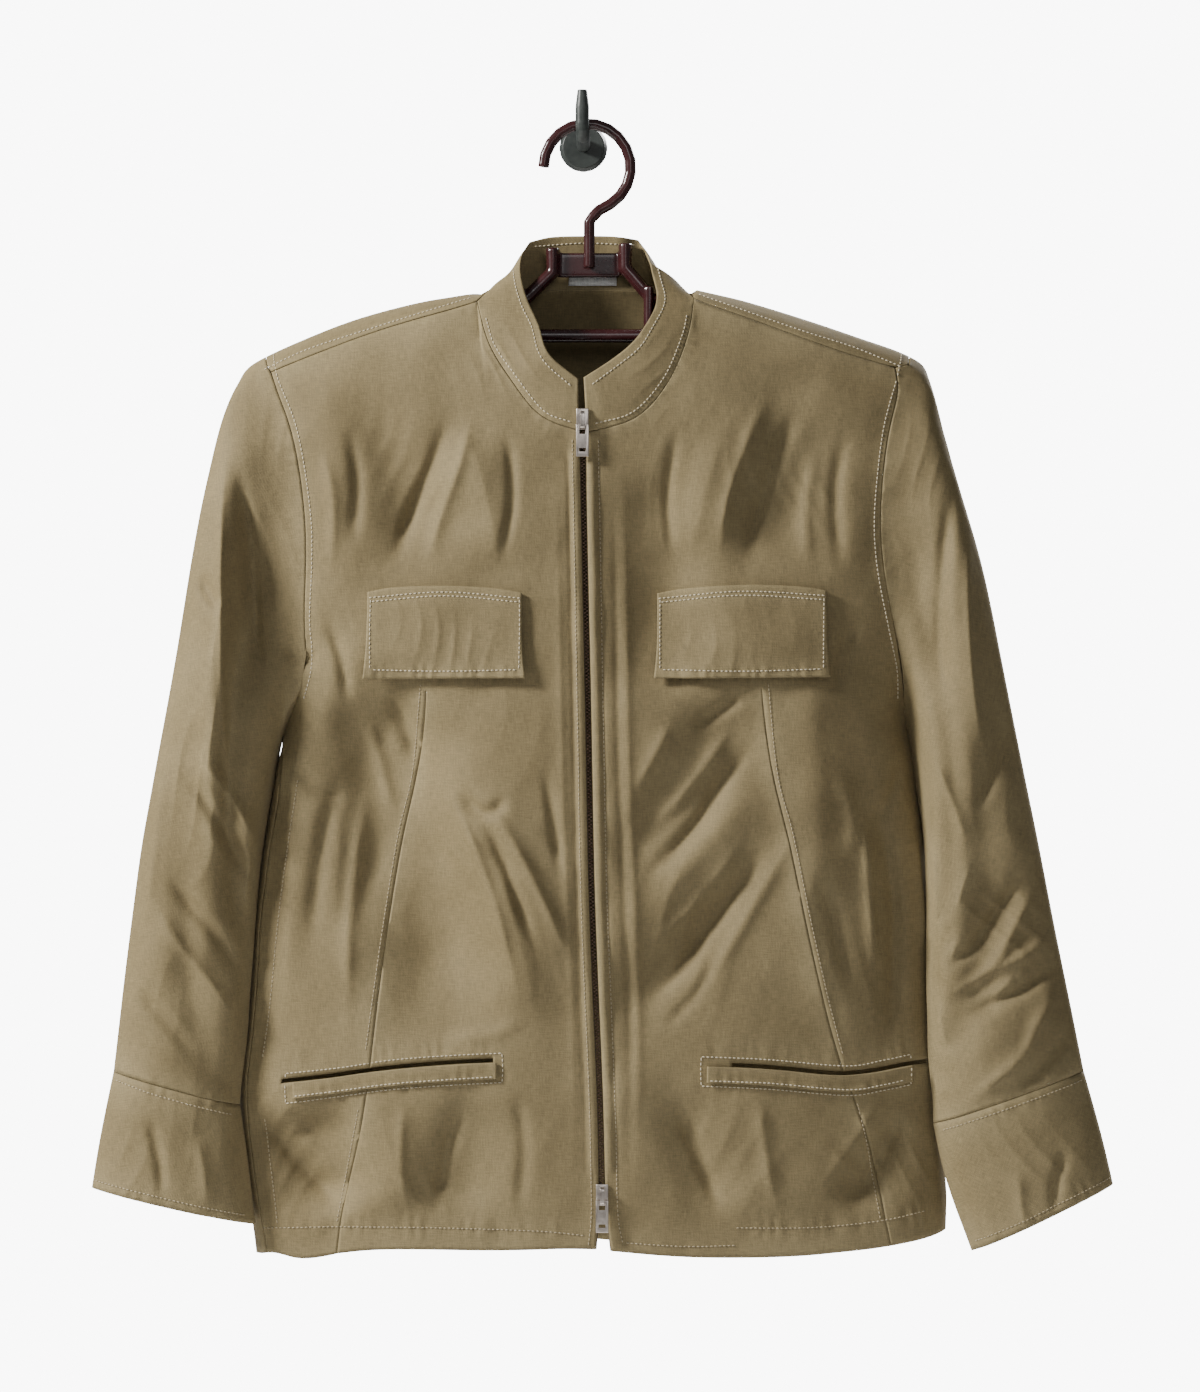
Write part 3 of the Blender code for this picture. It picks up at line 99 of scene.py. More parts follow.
def twillWeave():
    # A fine diagonal twill with slubs, and soft fading and wear that follow the garment
    group, given, out = newGroup("twillWeave", [
        ("Weave", "NodeSocketVector", None),
        ("Place", "NodeSocketVector", None),
        ("Seam", "NodeSocketFloat", 0.0),
        ("Cloth", "NodeSocketColor", (0.3, 0.24, 0.14, 1)),
        ("Faded", "NodeSocketColor", (0.4, 0.33, 0.2, 1)),
        ("Lines", "NodeSocketFloat", 1250.0),
    ], [("Color", "NodeSocketColor"), ("Roughness", "NodeSocketFloat"), ("Height", "NodeSocketFloat")])
    link = group.links.new
    turn = addNode(group, "ShaderNodeMapping", {"Rotation": (0, 0, radians(28))})
    link(given.outputs["Weave"], turn.inputs["Vector"])
    apart = addNode(group, "ShaderNodeSeparateXYZ")
    link(turn.outputs[0], apart.inputs[0])
    wobble = addNode(group, "ShaderNodeTexNoise", {"Scale": 160.0, "Detail": 2.0})
    link(given.outputs["Weave"], wobble.inputs["Vector"])
    across = mathNode(group, "MULTIPLY", apart.outputs["X"], given.outputs["Lines"])
    across = mathNode(group, "ADD", across, mathNode(group, "MULTIPLY", wobble.outputs["Fac"], 1.6))
    wave = mathNode(group, "SINE", mathNode(group, "MULTIPLY", across, 2 * pi))
    wale = mathNode(group, "MULTIPLY", wave, 0.5)
    slubs = []
    for scale in ((150.0, 1300.0, 1.0), (1500.0, 130.0, 1.0)):
        stretch = addNode(group, "ShaderNodeMapping", {"Scale": scale})
        link(given.outputs["Weave"], stretch.inputs["Vector"])
        yarn = addNode(group, "ShaderNodeTexNoise", {"Scale": 1.0, "Detail": 2.0, "Roughness": 0.6})
        link(stretch.outputs[0], yarn.inputs["Vector"])
        slubs.append(yarn.outputs["Fac"])
    yarns = mathNode(group, "MULTIPLY", mathNode(group, "ADD", *slubs), 0.5)
    cloud = addNode(group, "ShaderNodeTexNoise", {"Scale": 9.0, "Detail": 4.0, "Roughness": 0.55})
    link(given.outputs["Place"], cloud.inputs["Vector"])
    fade = mathNode(group, "ADD", spread(group, cloud.outputs["Fac"], 0.36, 0.66, 0.0, 0.42),
                    mathNode(group, "MULTIPLY", given.outputs["Seam"], 0.5))
    tone = mixColor(group, fade, given.outputs["Cloth"], given.outputs["Faded"])
    shade = spread(group, yarns, 0.35, 0.65, 0.78, 1.2)
    shade = mathNode(group, "ADD", shade, mathNode(group, "MULTIPLY", wale, 0.14))
    tint = addNode(group, "ShaderNodeCombineColor")
    for channel in range(3):
        link(shade, tint.inputs[channel])
    link(mixColor(group, 1.0, tone, tint.outputs[0], "MULTIPLY"), out.inputs["Color"])
    link(spread(group, yarns, 0.3, 0.7, 0.66, 0.84), out.inputs["Roughness"])
    crumple = addNode(group, "ShaderNodeTexNoise", {"Scale": 55.0, "Detail": 3.0, "Roughness": 0.5})
    link(given.outputs["Place"], crumple.inputs["Vector"])
    height = mathNode(group, "ADD", mathNode(group, "MULTIPLY", wale, 0.16),
                      mathNode(group, "MULTIPLY", yarns, 0.32))
    small = addNode(group, "ShaderNodeTexNoise", {"Scale": 190.0, "Detail": 4.0, "Roughness": 0.6})
    link(given.outputs["Place"], small.inputs["Vector"])
    uneven = mathNode(group, "ADD", mathNode(group, "MULTIPLY", crumple.outputs["Fac"], 2.4),
                      mathNode(group, "MULTIPLY", small.outputs["Fac"], 0.9))
    link(mathNode(group, "ADD", height, uneven), out.inputs["Height"])
    return group


def newMaterial(name, values):
    made = bpy.data.materials.new(name)
    made.use_nodes = True
    shader = made.node_tree.nodes["Principled BSDF"]
    for key, value in values.items():
        shader.inputs[key].default_value = value
    return made, made.node_tree, shader


def addBump(tree, shader, height, depth):
    bump = addNode(tree, "ShaderNodeBump", {"Strength": 1.0, "Distance": depth})
    tree.links.new(height, bump.inputs["Height"])
    tree.links.new(bump.outputs["Normal"], shader.inputs["Normal"])


def clothMaterial(name, look, weave):
    made, tree, shader = newMaterial(name, {
        "Sheen Weight": look["sheen"], "Sheen Roughness": 0.45,
        "Sheen Tint": (*look["sheenTint"], 1), "Specular IOR Level": look["shine"]})
    uv = addNode(tree, "ShaderNodeUVMap", uv_map="clothUv")
    place = addNode(tree, "ShaderNodeTexCoord")
    seam = addNode(tree, "ShaderNodeAttribute", attribute_name="seamWear")
    cloth = addNode(tree, "ShaderNodeGroup", node_tree=weave)
    cloth.inputs["Cloth"].default_value = (*look["cloth"], 1)
    cloth.inputs["Faded"].default_value = (*look["faded"], 1)
    cloth.inputs["Lines"].default_value = look["linesPerMetre"]
    tree.links.new(uv.outputs[0], cloth.inputs["Weave"])
    tree.links.new(place.outputs["Object"], cloth.inputs["Place"])
    tree.links.new(seam.outputs["Fac"], cloth.inputs["Seam"])
    tree.links.new(cloth.outputs["Color"], shader.inputs["Base Color"])
    tree.links.new(cloth.outputs["Roughness"], shader.inputs["Roughness"])
    addBump(tree, shader, cloth.outputs["Height"], look["relief"])
    return made


def speckledMaterial(name, color, other, values, scale, depth):
    # Plain surface with a fine irregular tone and grain, for metal, plastic and thread
    made, tree, shader = newMaterial(name, values)
    place = addNode(tree, "ShaderNodeTexCoord")
    grain = addNode(tree, "ShaderNodeTexNoise", {"Scale": scale, "Detail": 4.0, "Roughness": 0.6})
    tree.links.new(place.outputs["Object"], grain.inputs["Vector"])
    tone = spread(tree, grain.outputs["Fac"], 0.3, 0.7)
    tree.links.new(mixColor(tree, tone, (*color, 1), (*other, 1)), shader.inputs["Base Color"])
    rough = values["Roughness"]
    tree.links.new(spread(tree, grain.outputs["Fac"], 0.3, 0.7, rough * 0.85, rough * 1.2),
                   shader.inputs["Roughness"])
    addBump(tree, shader, grain.outputs["Fac"], depth)
    return made


twillLook = {
    "cloth": (0.205, 0.158, 0.078),
    "faded": (0.295, 0.235, 0.125),
    "linesPerMetre": 1050.0,
    "relief": 0.00026,
    "sheen": 0.06,
    "sheenTint": (0.86, 0.76, 0.58),
    "shine": 0.28,
}
tapeLook = dict(twillLook, cloth=(0.10, 0.075, 0.045), faded=(0.14, 0.11, 0.07), sheen=0.1)
labelLook = dict(twillLook, cloth=(0.78, 0.78, 0.76), faded=(0.86, 0.86, 0.84), sheen=0.1, relief=0.0001)
weave = twillWeave()
twill = clothMaterial("twill", twillLook, weave)
tape = clothMaterial("zipTape", tapeLook, weave)
label = clothMaterial("label", labelLook, weave)
paleThread = speckledMaterial("paleThread", (0.58, 0.50, 0.35), (0.68, 0.60, 0.44),
                              {"Roughness": 0.7, "Sheen Weight": 0.2}, 900.0, 0.0001)
clothThread = speckledMaterial("clothThread", (0.37, 0.30, 0.18), (0.47, 0.39, 0.25),
                               {"Roughness": 0.7, "Sheen Weight": 0.2}, 900.0, 0.0001)
zipMetal = speckledMaterial("zipMetal", (0.60, 0.53, 0.48), (0.74, 0.67, 0.61),
                            {"Roughness": 0.34, "Metallic": 1.0}, 300.0, 0.00003)
zipTeeth = speckledMaterial("zipTeeth", (0.13, 0.085, 0.06), (0.24, 0.17, 0.12),
                            {"Roughness": 0.42, "Metallic": 0.8}, 400.0, 0.00003)
hangerPlastic = speckledMaterial("hangerPlastic", (0.034, 0.008, 0.009), (0.048, 0.013, 0.014),
                                 {"Roughness": 0.24, "Coat Weight": 0.4, "Coat Roughness": 0.12},
                                 120.0, 0.00004)
hookPlastic = speckledMaterial("hookPlastic", (0.030, 0.036, 0.034), (0.050, 0.058, 0.054),
                               {"Roughness": 0.4}, 160.0, 0.00004)

print("cloth")

# Finer creases than the solids hold: front or back, rise, half width, and the line they follow.
# A negative rise is a trough.
creases = (
    # broad hollows of the chest, the waist and the sleeves
    (-1, -3.4, 22.0, ((-158, -166), (-138, -205), (-116, -255), (-102, -304))),
    (-1, 2.4, 18.0, ((-80, -200), (-66, -245), (-56, -300))),
    (-1, -3.0, 26.0, ((186, -178), (164, -218), (140, -262), (122, -300))),
    (-1, 2.4, 18.0, ((100, -190), (84, -240), (72, -296))),
    (-1, -3.2, 19.0, ((126, -384), (84, -428), (44, -474), (16, -500))),
    (-1, -3.2, 19.0, ((112, -490), (72, -540), (32, -592), (10, -616))),
    (-1, 2.2, 15.0, ((120, -436), (84, -484), (44, -534))),
    (-1, -11.0, 38.0, ((-128, -350), (-120, -410), (-108, -500), (-96, -590), (-90, -640))),
    (-1, -5.5, 24.0, ((-160, -372), (-152, -420), (-146, -480), (-150, -560))),
    (-1, 2.6, 15.0, ((-84, -410), (-64, -470), (-44, -545), (-30, -610))),
    (-1, -1.8, 16.0, ((-178, -400), (-150, -404), (-124, -418))),
    (-1, 1.6, 15.0, ((-192, -430), (-196, -520), (-198, -610))),
    (-1, -3.0, 24.0, ((-56, -652), (-74, -696), (-92, -742))),
    (-1, 2.0, 20.0, ((-140, -656), (-132, -700), (-128, -744))),
    (-1, -7.0, 27.0, ((-190, -656), (-178, -700), (-160, -740))),
    (-1, -2.4, 18.0, ((52, -660), (76, -694), (98, -738))),
    (-1, -2.6, 18.0, ((214, -666), (196, -700), (178, -738))),
    (-1, -1.8, 14.0, ((-212, -430), (-206, -480), (-212, -540))),
    (-1, -5.0, 30.0, ((52, -196), (54, -250), (54, -330), (50, -400))),
    (-1, 2.0, 22.0, ((150, -330), (158, -400), (160, -470), (152, -560))),
    (-1, -3.0, 13.0, ((-232, -220), (-226, -290), (-222, -360), (-226, -400))),
    (-1, -2.4, 14.0, ((-252, -470), (-244, -530), (-246, -600))),
    (-1, -3.0, 14.0, ((240, -220), (236, -290), (238, -360), (246, -410))),
    (-1, -4.0, 21.0, ((300, -480), (290, -550), (278, -620))),
    (-1, -1.8, 14.0, ((276, -330), (284, -390), (296, -450))),
    # right front, the drags from the chest to the zip
    (-1, -2.4, 5.0, ((121, -412), (96, -440), (80, -467), (58, -492), (38, -508))),
    (-1, 2.2, 5.5, ((104, -400), (88, -424), (66, -452), (44, -476))),
    (-1, -2.2, 4.5, ((128, -482), (104, -514), (80, -549), (58, -577), (38, -597))),
    (-1, 1.8, 5.0, ((112, -478), (90, -508), (62, -540), (40, -560))),
    (-1, -1.8, 4.0, ((114, -378), (94, -392), (74, -406))),
    (-1, 1.6, 4.5, ((150, -470), (124, -512), (96, -560), (70, -600))),
    (-1, -1.5, 4.0, ((96, -556), (78, -584), (52, -612))),
    (-1, 1.3, 4.0, ((62, -398), (46, -428), (34, -452))),
    # right side, the dark fold and its sharp edge
    (-1, -2.6, 5.5, ((190, -447), (201, -480), (208, -520), (209, -560), (206, -620))),
    (-1, 2.6, 3.6, ((186, -456), (190, -492), (193, -532), (196, -580))),
    (-1, -1.6, 5.0, ((160, -500), (172, -540), (180, -590))),
    (-1, 1.4, 4.0, ((172, -430), (180, -462), (182, -500))),
    (-1, -1.6, 4.0, ((214, -420), (206, -450), (194, -476))),
    # left front
    (-1, 2.2, 5.0, ((-96, -440), (-76, -480), (-58, -530), (-43, -590))),
    (-1, 2.0, 4.5, ((-62, -458), (-42, -492), (-22, -532), (-8, -566))),
    (-1, -2.2, 4.0, ((-72, -455), (-56, -490), (-42, -528), (-30, -560))),
    (-1, -2.0, 4.0, ((-86, -450), (-66, -462), (-48, -452))),
    (-1, -2.4, 5.5, ((-134, -380), (-122, -402), (-112, -432))),
    (-1, 1.6, 4.5, ((-150, -392), (-140, -424), (-128, -470))),
    (-1, -1.8, 5.0, ((-165, -430), (-178, -490), (-184, -560))),
    (-1, 1.5, 4.5, ((-146, -440), (-156, -500), (-160, -560), (-158, -610))),
    (-1, -1.4, 4.0, ((-196, -430), (-180, -446), (-160, -455))),
    (-1, -1.3, 4.0, ((-26, -430), (-20, -470), (-14, -510))),
    (-1, 1.2, 5.0, ((-34, -600), (-60, -612), (-96, -618))),
    # chest
    (-1, -2.0, 5.0, ((-90, -190), (-106, -232), (-122, -272), (-131, -298))),
    (-1, 1.8, 5.0, ((-74, -188), (-84, -226), (-98, -264), (-106, -296))),
    (-1, -1.5, 4.5, ((-160, -196), (-154, -240), (-158, -286))),
    (-1, 1.4, 4.5, ((-178, -210), (-170, -252), (-172, -300))),
    (-1, -1.3, 4.0, ((-52, -200), (-48, -246), (-56, -296))),
    (-1, -2.0, 5.0, ((148, -182), (132, -220), (118, -262), (112, -296))),
    (-1, 1.8, 5.0, ((128, -172), (112, -210), (98, -250), (92, -292))),
    (-1, -1.5, 4.5, ((180, -200), (172, -244), (176, -300))),
    (-1, 1.3, 4.5, ((160, -210), (152, -256), (154, -300))),
    (-1, -1.2, 4.0, ((66, -196), (58, -240), (62, -296))),
    (-1, -1.8, 4.0, ((190, -330), (178, -350), (172, -384))),
    (-1, -1.8, 4.0, ((-178, -330), (-166, -352), (-160, -390))),
    # below the pockets
    (-1, -2.0, 5.0, ((-222, -664), (-200, -690), (-178, -716), (-165, -738))),
    (-1, 1.6, 4.5, ((-206, -662), (-182, -690), (-158, -722))),
    (-1, -1.6, 5.0, ((-80, -658), (-92, -690), (-100, -736))),
    (-1, 1.4, 5.0, ((-122, -656), (-124, -700), (-118, -740))),
    (-1, -1.2, 4.5, ((-46, -650), (-40, -690), (-44, -736))),
    (-1, -2.0, 5.0, ((216, -662), (202, -690), (186, -718), (176, -738))),
    (-1, 1.6, 4.5, ((198, -656), (182, -688), (160, -724))),
    (-1, -1.6, 5.0, ((62, -656), (76, -690), (96, -738))),
    (-1, 1.4, 5.0, ((120, -652), (124, -692), (132, -736))),
    # the soft second ridge beside the zip, and its twin
    (-1, 0.7, 3.4, ((26, -212), (29, -300), (31, -420), (35, -520), (38, -620), (36, -740))),
    (-1, -0.5, 2.6, ((20, -214), (22, -300), (24, -420), (28, -520), (32, -620), (30, -740))),
    (-1, 0.5, 3.4, ((-19, -212), (-16, -330), (-13, -470), (-7, -600), (-6, -740))),
    # left sleeve
    (-1, -2.4, 5.0, ((-238, -216), (-230, -260), (-226, -310), (-223, -360), (-225, -385))),
    (-1, 2.4, 4.0, ((-243, -212), (-246, -260), (-246, -305), (-245, -372), (-243, -414), (-239, -448),
                    (-234, -478))),
    (-1, -2.0, 4.0, ((-206, -350), (-192, -358), (-180, -356))),
    (-1, -2.2, 4.5, ((-262, -300), (-252, -316), (-244, -324))),
    (-1, 2.0, 4.0, ((-268, -420), (-250, -436), (-230, -470), (-214, -508))),
    (-1, -2.2, 4.5, ((-276, -432), (-258, -452), (-240, -484), (-226, -520))),
    (-1, -1.8, 4.5, ((-286, -500), (-268, -524), (-248, -548), (-234, -580))),
    (-1, 1.7, 4.5, ((-296, -520), (-274, -552), (-252, -580), (-238, -604))),
    (-1, -1.6, 4.5, ((-306, -580), (-284, -604), (-262, -628))),
    (-1, 1.6, 5.0, ((-286, -420), (-292, -480), (-298, -540))),
    (-1, -1.6, 4.0, ((-296, -668), (-288, -700), (-286, -726))),
    (-1, 1.3, 5.0, ((-264, -680), (-258, -706), (-256, -736))),
    # right sleeve
    (-1, 2.4, 4.5, ((311, -508), (294, -540), (277, -569), (243, -590))),
    (-1, -2.2, 4.5, ((302, -500), (284, -528), (266, -552), (244, -572))),
    (-1, 2.0, 4.5, ((324, -545), (300, -560), (273, -573))),
    (-1, -2.2, 4.5, ((330, -560), (304, -580), (280, -592), (258, -604))),
    (-1, 2.2, 4.5, ((328, -576), (310, -606), (297, -630), (256, -664))),
    (-1, -2.0, 4.5, ((336, -604), (318, -630), (290, -654))),
    (-1, -2.2, 5.0, ((252, -230), (246, -290), (244, -340), (248, -390))),
    (-1, 1.8, 4.5, ((264, -262), (262, -320), (266, -380), (276, -440))),
    (-1, -1.7, 4.5, ((290, -390), (280, -430), (264, -466))),
    (-1, 1.6, 4.5, ((236, -420), (250, -452), (262, -488))),
    (-1, -1.5, 4.0, ((330, -690), (322, -716), (320, -738))),
    (-1, 1.3, 5.0, ((296, -704), (298, -730), (302, -752))),
    # back
    (1, -2.4, 6.0, ((-120, -180), (-104, -250), (-80, -340), (-60, -420))),
    (1, 2.0, 6.0, ((-92, -176), (-80, -246), (-62, -320), (-46, -390))),
    (1, -2.2, 6.0, ((112, -172), (98, -240), (84, -320), (70, -400))),
    (1, 1.8, 6.0, ((80, -170), (74, -240), (60, -310), (52, -380))),
    (1, -2.4, 6.0, ((-190, -420), (-160, -470), (-130, -520), (-108, -562))),
    (1, 2.0, 5.5, ((-176, -410), (-142, -456), (-108, -500))),
    (1, -2.4, 6.0, ((196, -430), (166, -486), (140, -540), (120, -590))),
    (1, 2.0, 5.5, ((178, -418), (150, -470), (120, -520))),
    (1, -2.0, 6.0, ((-40, -430), (-18, -500), (8, -570), (30, -640))),
    (1, 1.8, 6.0, ((60, -500), (44, -580), (26, -660), (10, -736))),
    (1, -1.8, 5.5, ((-150, -590), (-138, -650), (-120, -740))),
    (1, 1.6, 5.5, ((170, -620), (160, -680), (150, -740))),
    (1, -1.4, 5.0, ((-70, -600), (-62, -660), (-66, -740))),
    (1, -1.6, 5.0, ((96, -600), (92, -670), (84, -740))),
    (1, -2.2, 5.0, ((-262, -300), (-252, -340), (-238, -372))),
    (1, 1.8, 5.0, ((-280, -420), (-262, -460), (-244, -498))),
    (1, -2.0, 5.0, ((-290, -490), (-268, -530), (-246, -566))),
    (1, -1.8, 5.0, ((-308, -580), (-286, -610), (-258, -636))),
    (1, -2.2, 5.0, ((272, -300), (262, -340), (250, -376))),
    (1, 1.8, 5.0, ((290, -430), (272, -470), (256, -506))),
    (1, -2.0, 5.0, ((308, -510), (290, -544), (264, -578))),
    (1, -1.8, 5.0, ((330, -590), (308, -620), (274, -646))),
)

# Seams that draw the cloth up into short puckers: front or back, rise, length of a pucker, its reach, line
puckers = (
    (-1, 0.55, 11.0, 7.0, ((-222, -745), (-160, -744), (-100, -744), (-16, -746))),
    (-1, 0.25, 13.0, 5.0, ((24, -752), (70, -757), (104, -752))),
    (-1, 0.60, 10.0, 7.0, ((104, -744), (160, -744), (204, -741), (236, -736))),
    (-1, 0.45, 9.0, 5.0, ((-148, -318), (-150, -364))),
    (-1, 0.45, 9.0, 5.0, ((-148, -366), (-100, -368), (-40, -366))),
    (-1, 0.45, 9.0, 5.0, ((52, -366), (110, -368), (164, -366))),
    (-1, 0.40, 10.0, 6.0, ((-200, -634), (-130, -626), (-59, -622))),
    (-1, 0.40, 10.0, 6.0, ((84, -623), (130, -626), (180, -631), (222, -625))),
    (-1, 0.45, 10.0, 6.0, ((-200, -656), (-130, -648), (-59, -642))),
    (-1, 0.45, 10.0, 6.0, ((84, -645), (130, -648), (180, -652), (222, -645))),
    (-1, 0.35, 12.0, 6.0, ((-107, -372), (-110, -410), (-123, -477), (-139, -587), (-145, -634))),
    (-1, 0.35, 12.0, 6.0, ((123, -372), (126, -410), (140, -477), (163, -587), (175, -630))),
    (-1, 0.35, 12.0, 6.0, ((-150, -660), (-158, -700), (-165, -745))),
    (-1, 0.35, 12.0, 6.0, ((184, -660), (194, -700), (200, -742))),
    (-1, 0.40, 10.0, 6.0, ((-219, -140), (-199, -202), (-190, -256), (-190, -330), (-190, -367), (-200, -392))),
    (-1, 0.40, 10.0, 6.0, ((225, -140), (209, -202), (203, -256), (211, -330), (219, -367), (219, -392))),
    (-1, 0.30, 11.0, 5.0, ((-224, -168), (-150, -134), (-75, -113))),
    (-1, 0.30, 11.0, 5.0, ((78, -110), (150, -136), (222, -164))),
    (-1, 0.45, 11.0, 6.0, ((-322, -640), (-292, -650), (-260, -659), (-237, -664))),
    (-1, 0.45, 11.0, 6.0, ((343, -640), (300, -657), (262, -671), (242, -677))),
    (-1, 0.45, 11.0, 6.0, ((-336, -712), (-300, -727), (-262, -737), (-228, -738))),
    (-1, 0.45, 11.0, 6.0, ((362, -709), (320, -733), (290, -748), (266, -756))),
    (-1, 0.35, 9.0, 6.0, ((-72, -112), (-70, -125), (-64, -144), (-50, -166), (-29, -193), (-5, -202))),
    (-1, 0.35, 9.0, 6.0, ((76, -110), (72, -137), (59, -168), (37, -194), (5, -203))),
    (1, 0.50, 12.0, 7.0, ((-224, -745), (-100, -744), (0, -744), (100, -744), (240, -737))),
    (1, 0.40, 10.0, 6.0, ((-226, -140), (-206, -202), (-197, -256), (-197, -330), (-200, -392))),
    (1, 0.40, 10.0, 6.0, ((232, -140), (216, -202), (210, -256), (218, -330), (222, -392))),
    (1, 0.45, 11.0, 6.0, ((-322, -640), (-292, -650), (-260, -659), (-237, -664))),
    (1, 0.45, 11.0, 6.0, ((343, -640), (300, -657), (262, -671), (242, -677))),
)

# Patches of pinched wrinkles: front or back, middle x and z, reach across and up,
# direction of the ridges in degrees, spacing, rise
crumples = (
    (-1, -205, -700, 40, 50, 42, 17, 1.3),
    (-1, -120, -705, 45, 40, 100, 21, 0.9),
    (-1, -40, -700, 40, 45, 80, 23, 0.7),
    (-1, 90, -700, 60, 40, 74, 21, 1.1),
    (-1, 200, -695, 40, 48, 128, 18, 1.3),
    (-1, -290, -700, 45, 34, 62, 19, 1.2),
    (-1, 305, -708, 45, 38, 112, 19, 1.2),
    (-1, 135, -235, 42, 55, 101, 16, 1.0),
    (-1, 70, -230, 30, 50, 70, 19, 0.7),
    (-1, -130, -240, 46, 56, 74, 18, 1.0),
    (-1, -90, -345, 48, 25, 93, 15, 0.9),
    (-1, 110, -345, 52, 25, 87, 16, 0.9),
    (-1, -50, -510, 50, 70, 118, 20, 1.2),
    (-1, 75, -535, 50, 90, 52, 24, 1.2),
    (-1, 190, -540, 34, 90, 84, 21, 1.1),
    (-1, -165, -520, 36, 90, 96, 19, 1.0),
    (-1, -55, -150, 24, 46, 130, 14, 0.8),
    (-1, 60, -150, 24, 46, 52, 14, 0.8),
    (-1, -270, -470, 34, 110, 62, 22, 1.2),
    (-1, 290, -530, 38, 110, 122, 21, 1.3),
    (-1, -212, -240, 20, 70, 96, 16, 0.8),
    (-1, 230, -240, 20, 70, 84, 16, 0.8),
    (-1, 0, -450, 320, 330, 82, 27, 0.30),
    (-1, 0, -450, 320, 330, 141, 33, 0.30),
    (1, 0, -450, 320, 330, 96, 29, 0.35),
    (1, 0, -450, 320, 330, 38, 35, 0.30),
    (1, -60, -300, 70, 90, 72, 24, 1.0),
    (1, 70, -330, 70, 90, 108, 24, 1.0),
    (1, -150, -520, 50, 100, 46, 23, 1.2),
    (1, 160, -540, 50, 100, 134, 23, 1.2),
    (1, 0, -690, 150, 45, 92, 24, 1.0),
    (1, -275, -500, 34, 110, 118, 22, 1.2),
    (1, 292, -530, 36, 110, 60, 22, 1.2),
    (1, -290, -700, 45, 34, 100, 19, 1.0),
    (1, 305, -708, 45, 38, 80, 19, 1.0),
)

drape = {
    "hangPlane": -62,       # y of the hanger's plane
    "sleeveStart": -150,    # below this height the sleeves come forward, over the ramp's height
    "sleeveRamp": 260,
    "creaseShare": 2.1,    # how strongly the creases are drawn
    "frontFade": 24.0,      # creases fade out this far behind each piece's front, mm
    "waveRise": 0.55,       # broad unevenness of hanging cloth
    "zipClear": 9.0,        # nothing moves this close to the zip
    "placketRise": 1.3,     # the rounded fold beside the zip
    "placketWidth": 7.0,
    "sleevesForward": 21.0,
}


def ease(t):
    t = np.clip(t, 0.0, 1.0)
    return t * t * (3 - 2 * t)


def softLine(points, steps=6):
    # Points of a soft curve through the given ones
    p = np.array(points, float)
    ends = np.vstack([2 * p[0] - p[1], p, 2 * p[-1] - p[-2]])
    line = []
    for i in range(1, len(ends) - 2):
        a, b, c, d = ends[i - 1:i + 3]
        for t in np.arange(steps) / steps:
            line.append(0.5 * (2 * b + (c - a) * t + (2 * a - 5 * b + 4 * c - d) * t ** 2
                               + (3 * b - a - 3 * c + d) * t ** 3))
    return np.array(line + [p[-1]])


def nearLine(x, z, line, reach):
    # For the points within reach of a line: their indices, distance from it, length along it
    low, high = line.min(0) - reach, line.max(0) + reach
    found = np.nonzero((x > low[0]) & (x < high[0]) & (z > low[1]) & (z < high[1]))[0]
    best = np.full(len(found), 1e9)
    along = np.zeros(len(found))
    start = 0.0
    px, pz = x[found], z[found]
    for a, b in zip(line[:-1], line[1:]):
        step = b - a
        length = float(np.hypot(*step))
        if length < 1e-6:
            continue
        t = np.clip(((px - a[0]) * step[0] + (pz - a[1]) * step[1]) / length ** 2, 0, 1)
        off = np.hypot(px - a[0] - t * step[0], pz - a[1] - t * step[1])
        nearer = off < best
        best[nearer] = off[nearer]
        along[nearer] = start + t[nearer] * length
        start += length
    return found, best, along, start


rng = np.random.default_rng(7)
waveFacts = [(rng.uniform(35, 120), rng.uniform(0, pi), rng.uniform(0, 2 * pi)) for _ in range(14)]
zipLine = ((-762, 13.9), (-740, 13.3), (-719, 12.9), (-658, 11.6), (-522, 6.1), (-386, 3.4), (-222, 0.0),
           (-150, 0.0))


def zipMiddle(z):
    return np.interp(z, *zip(*zipLine))


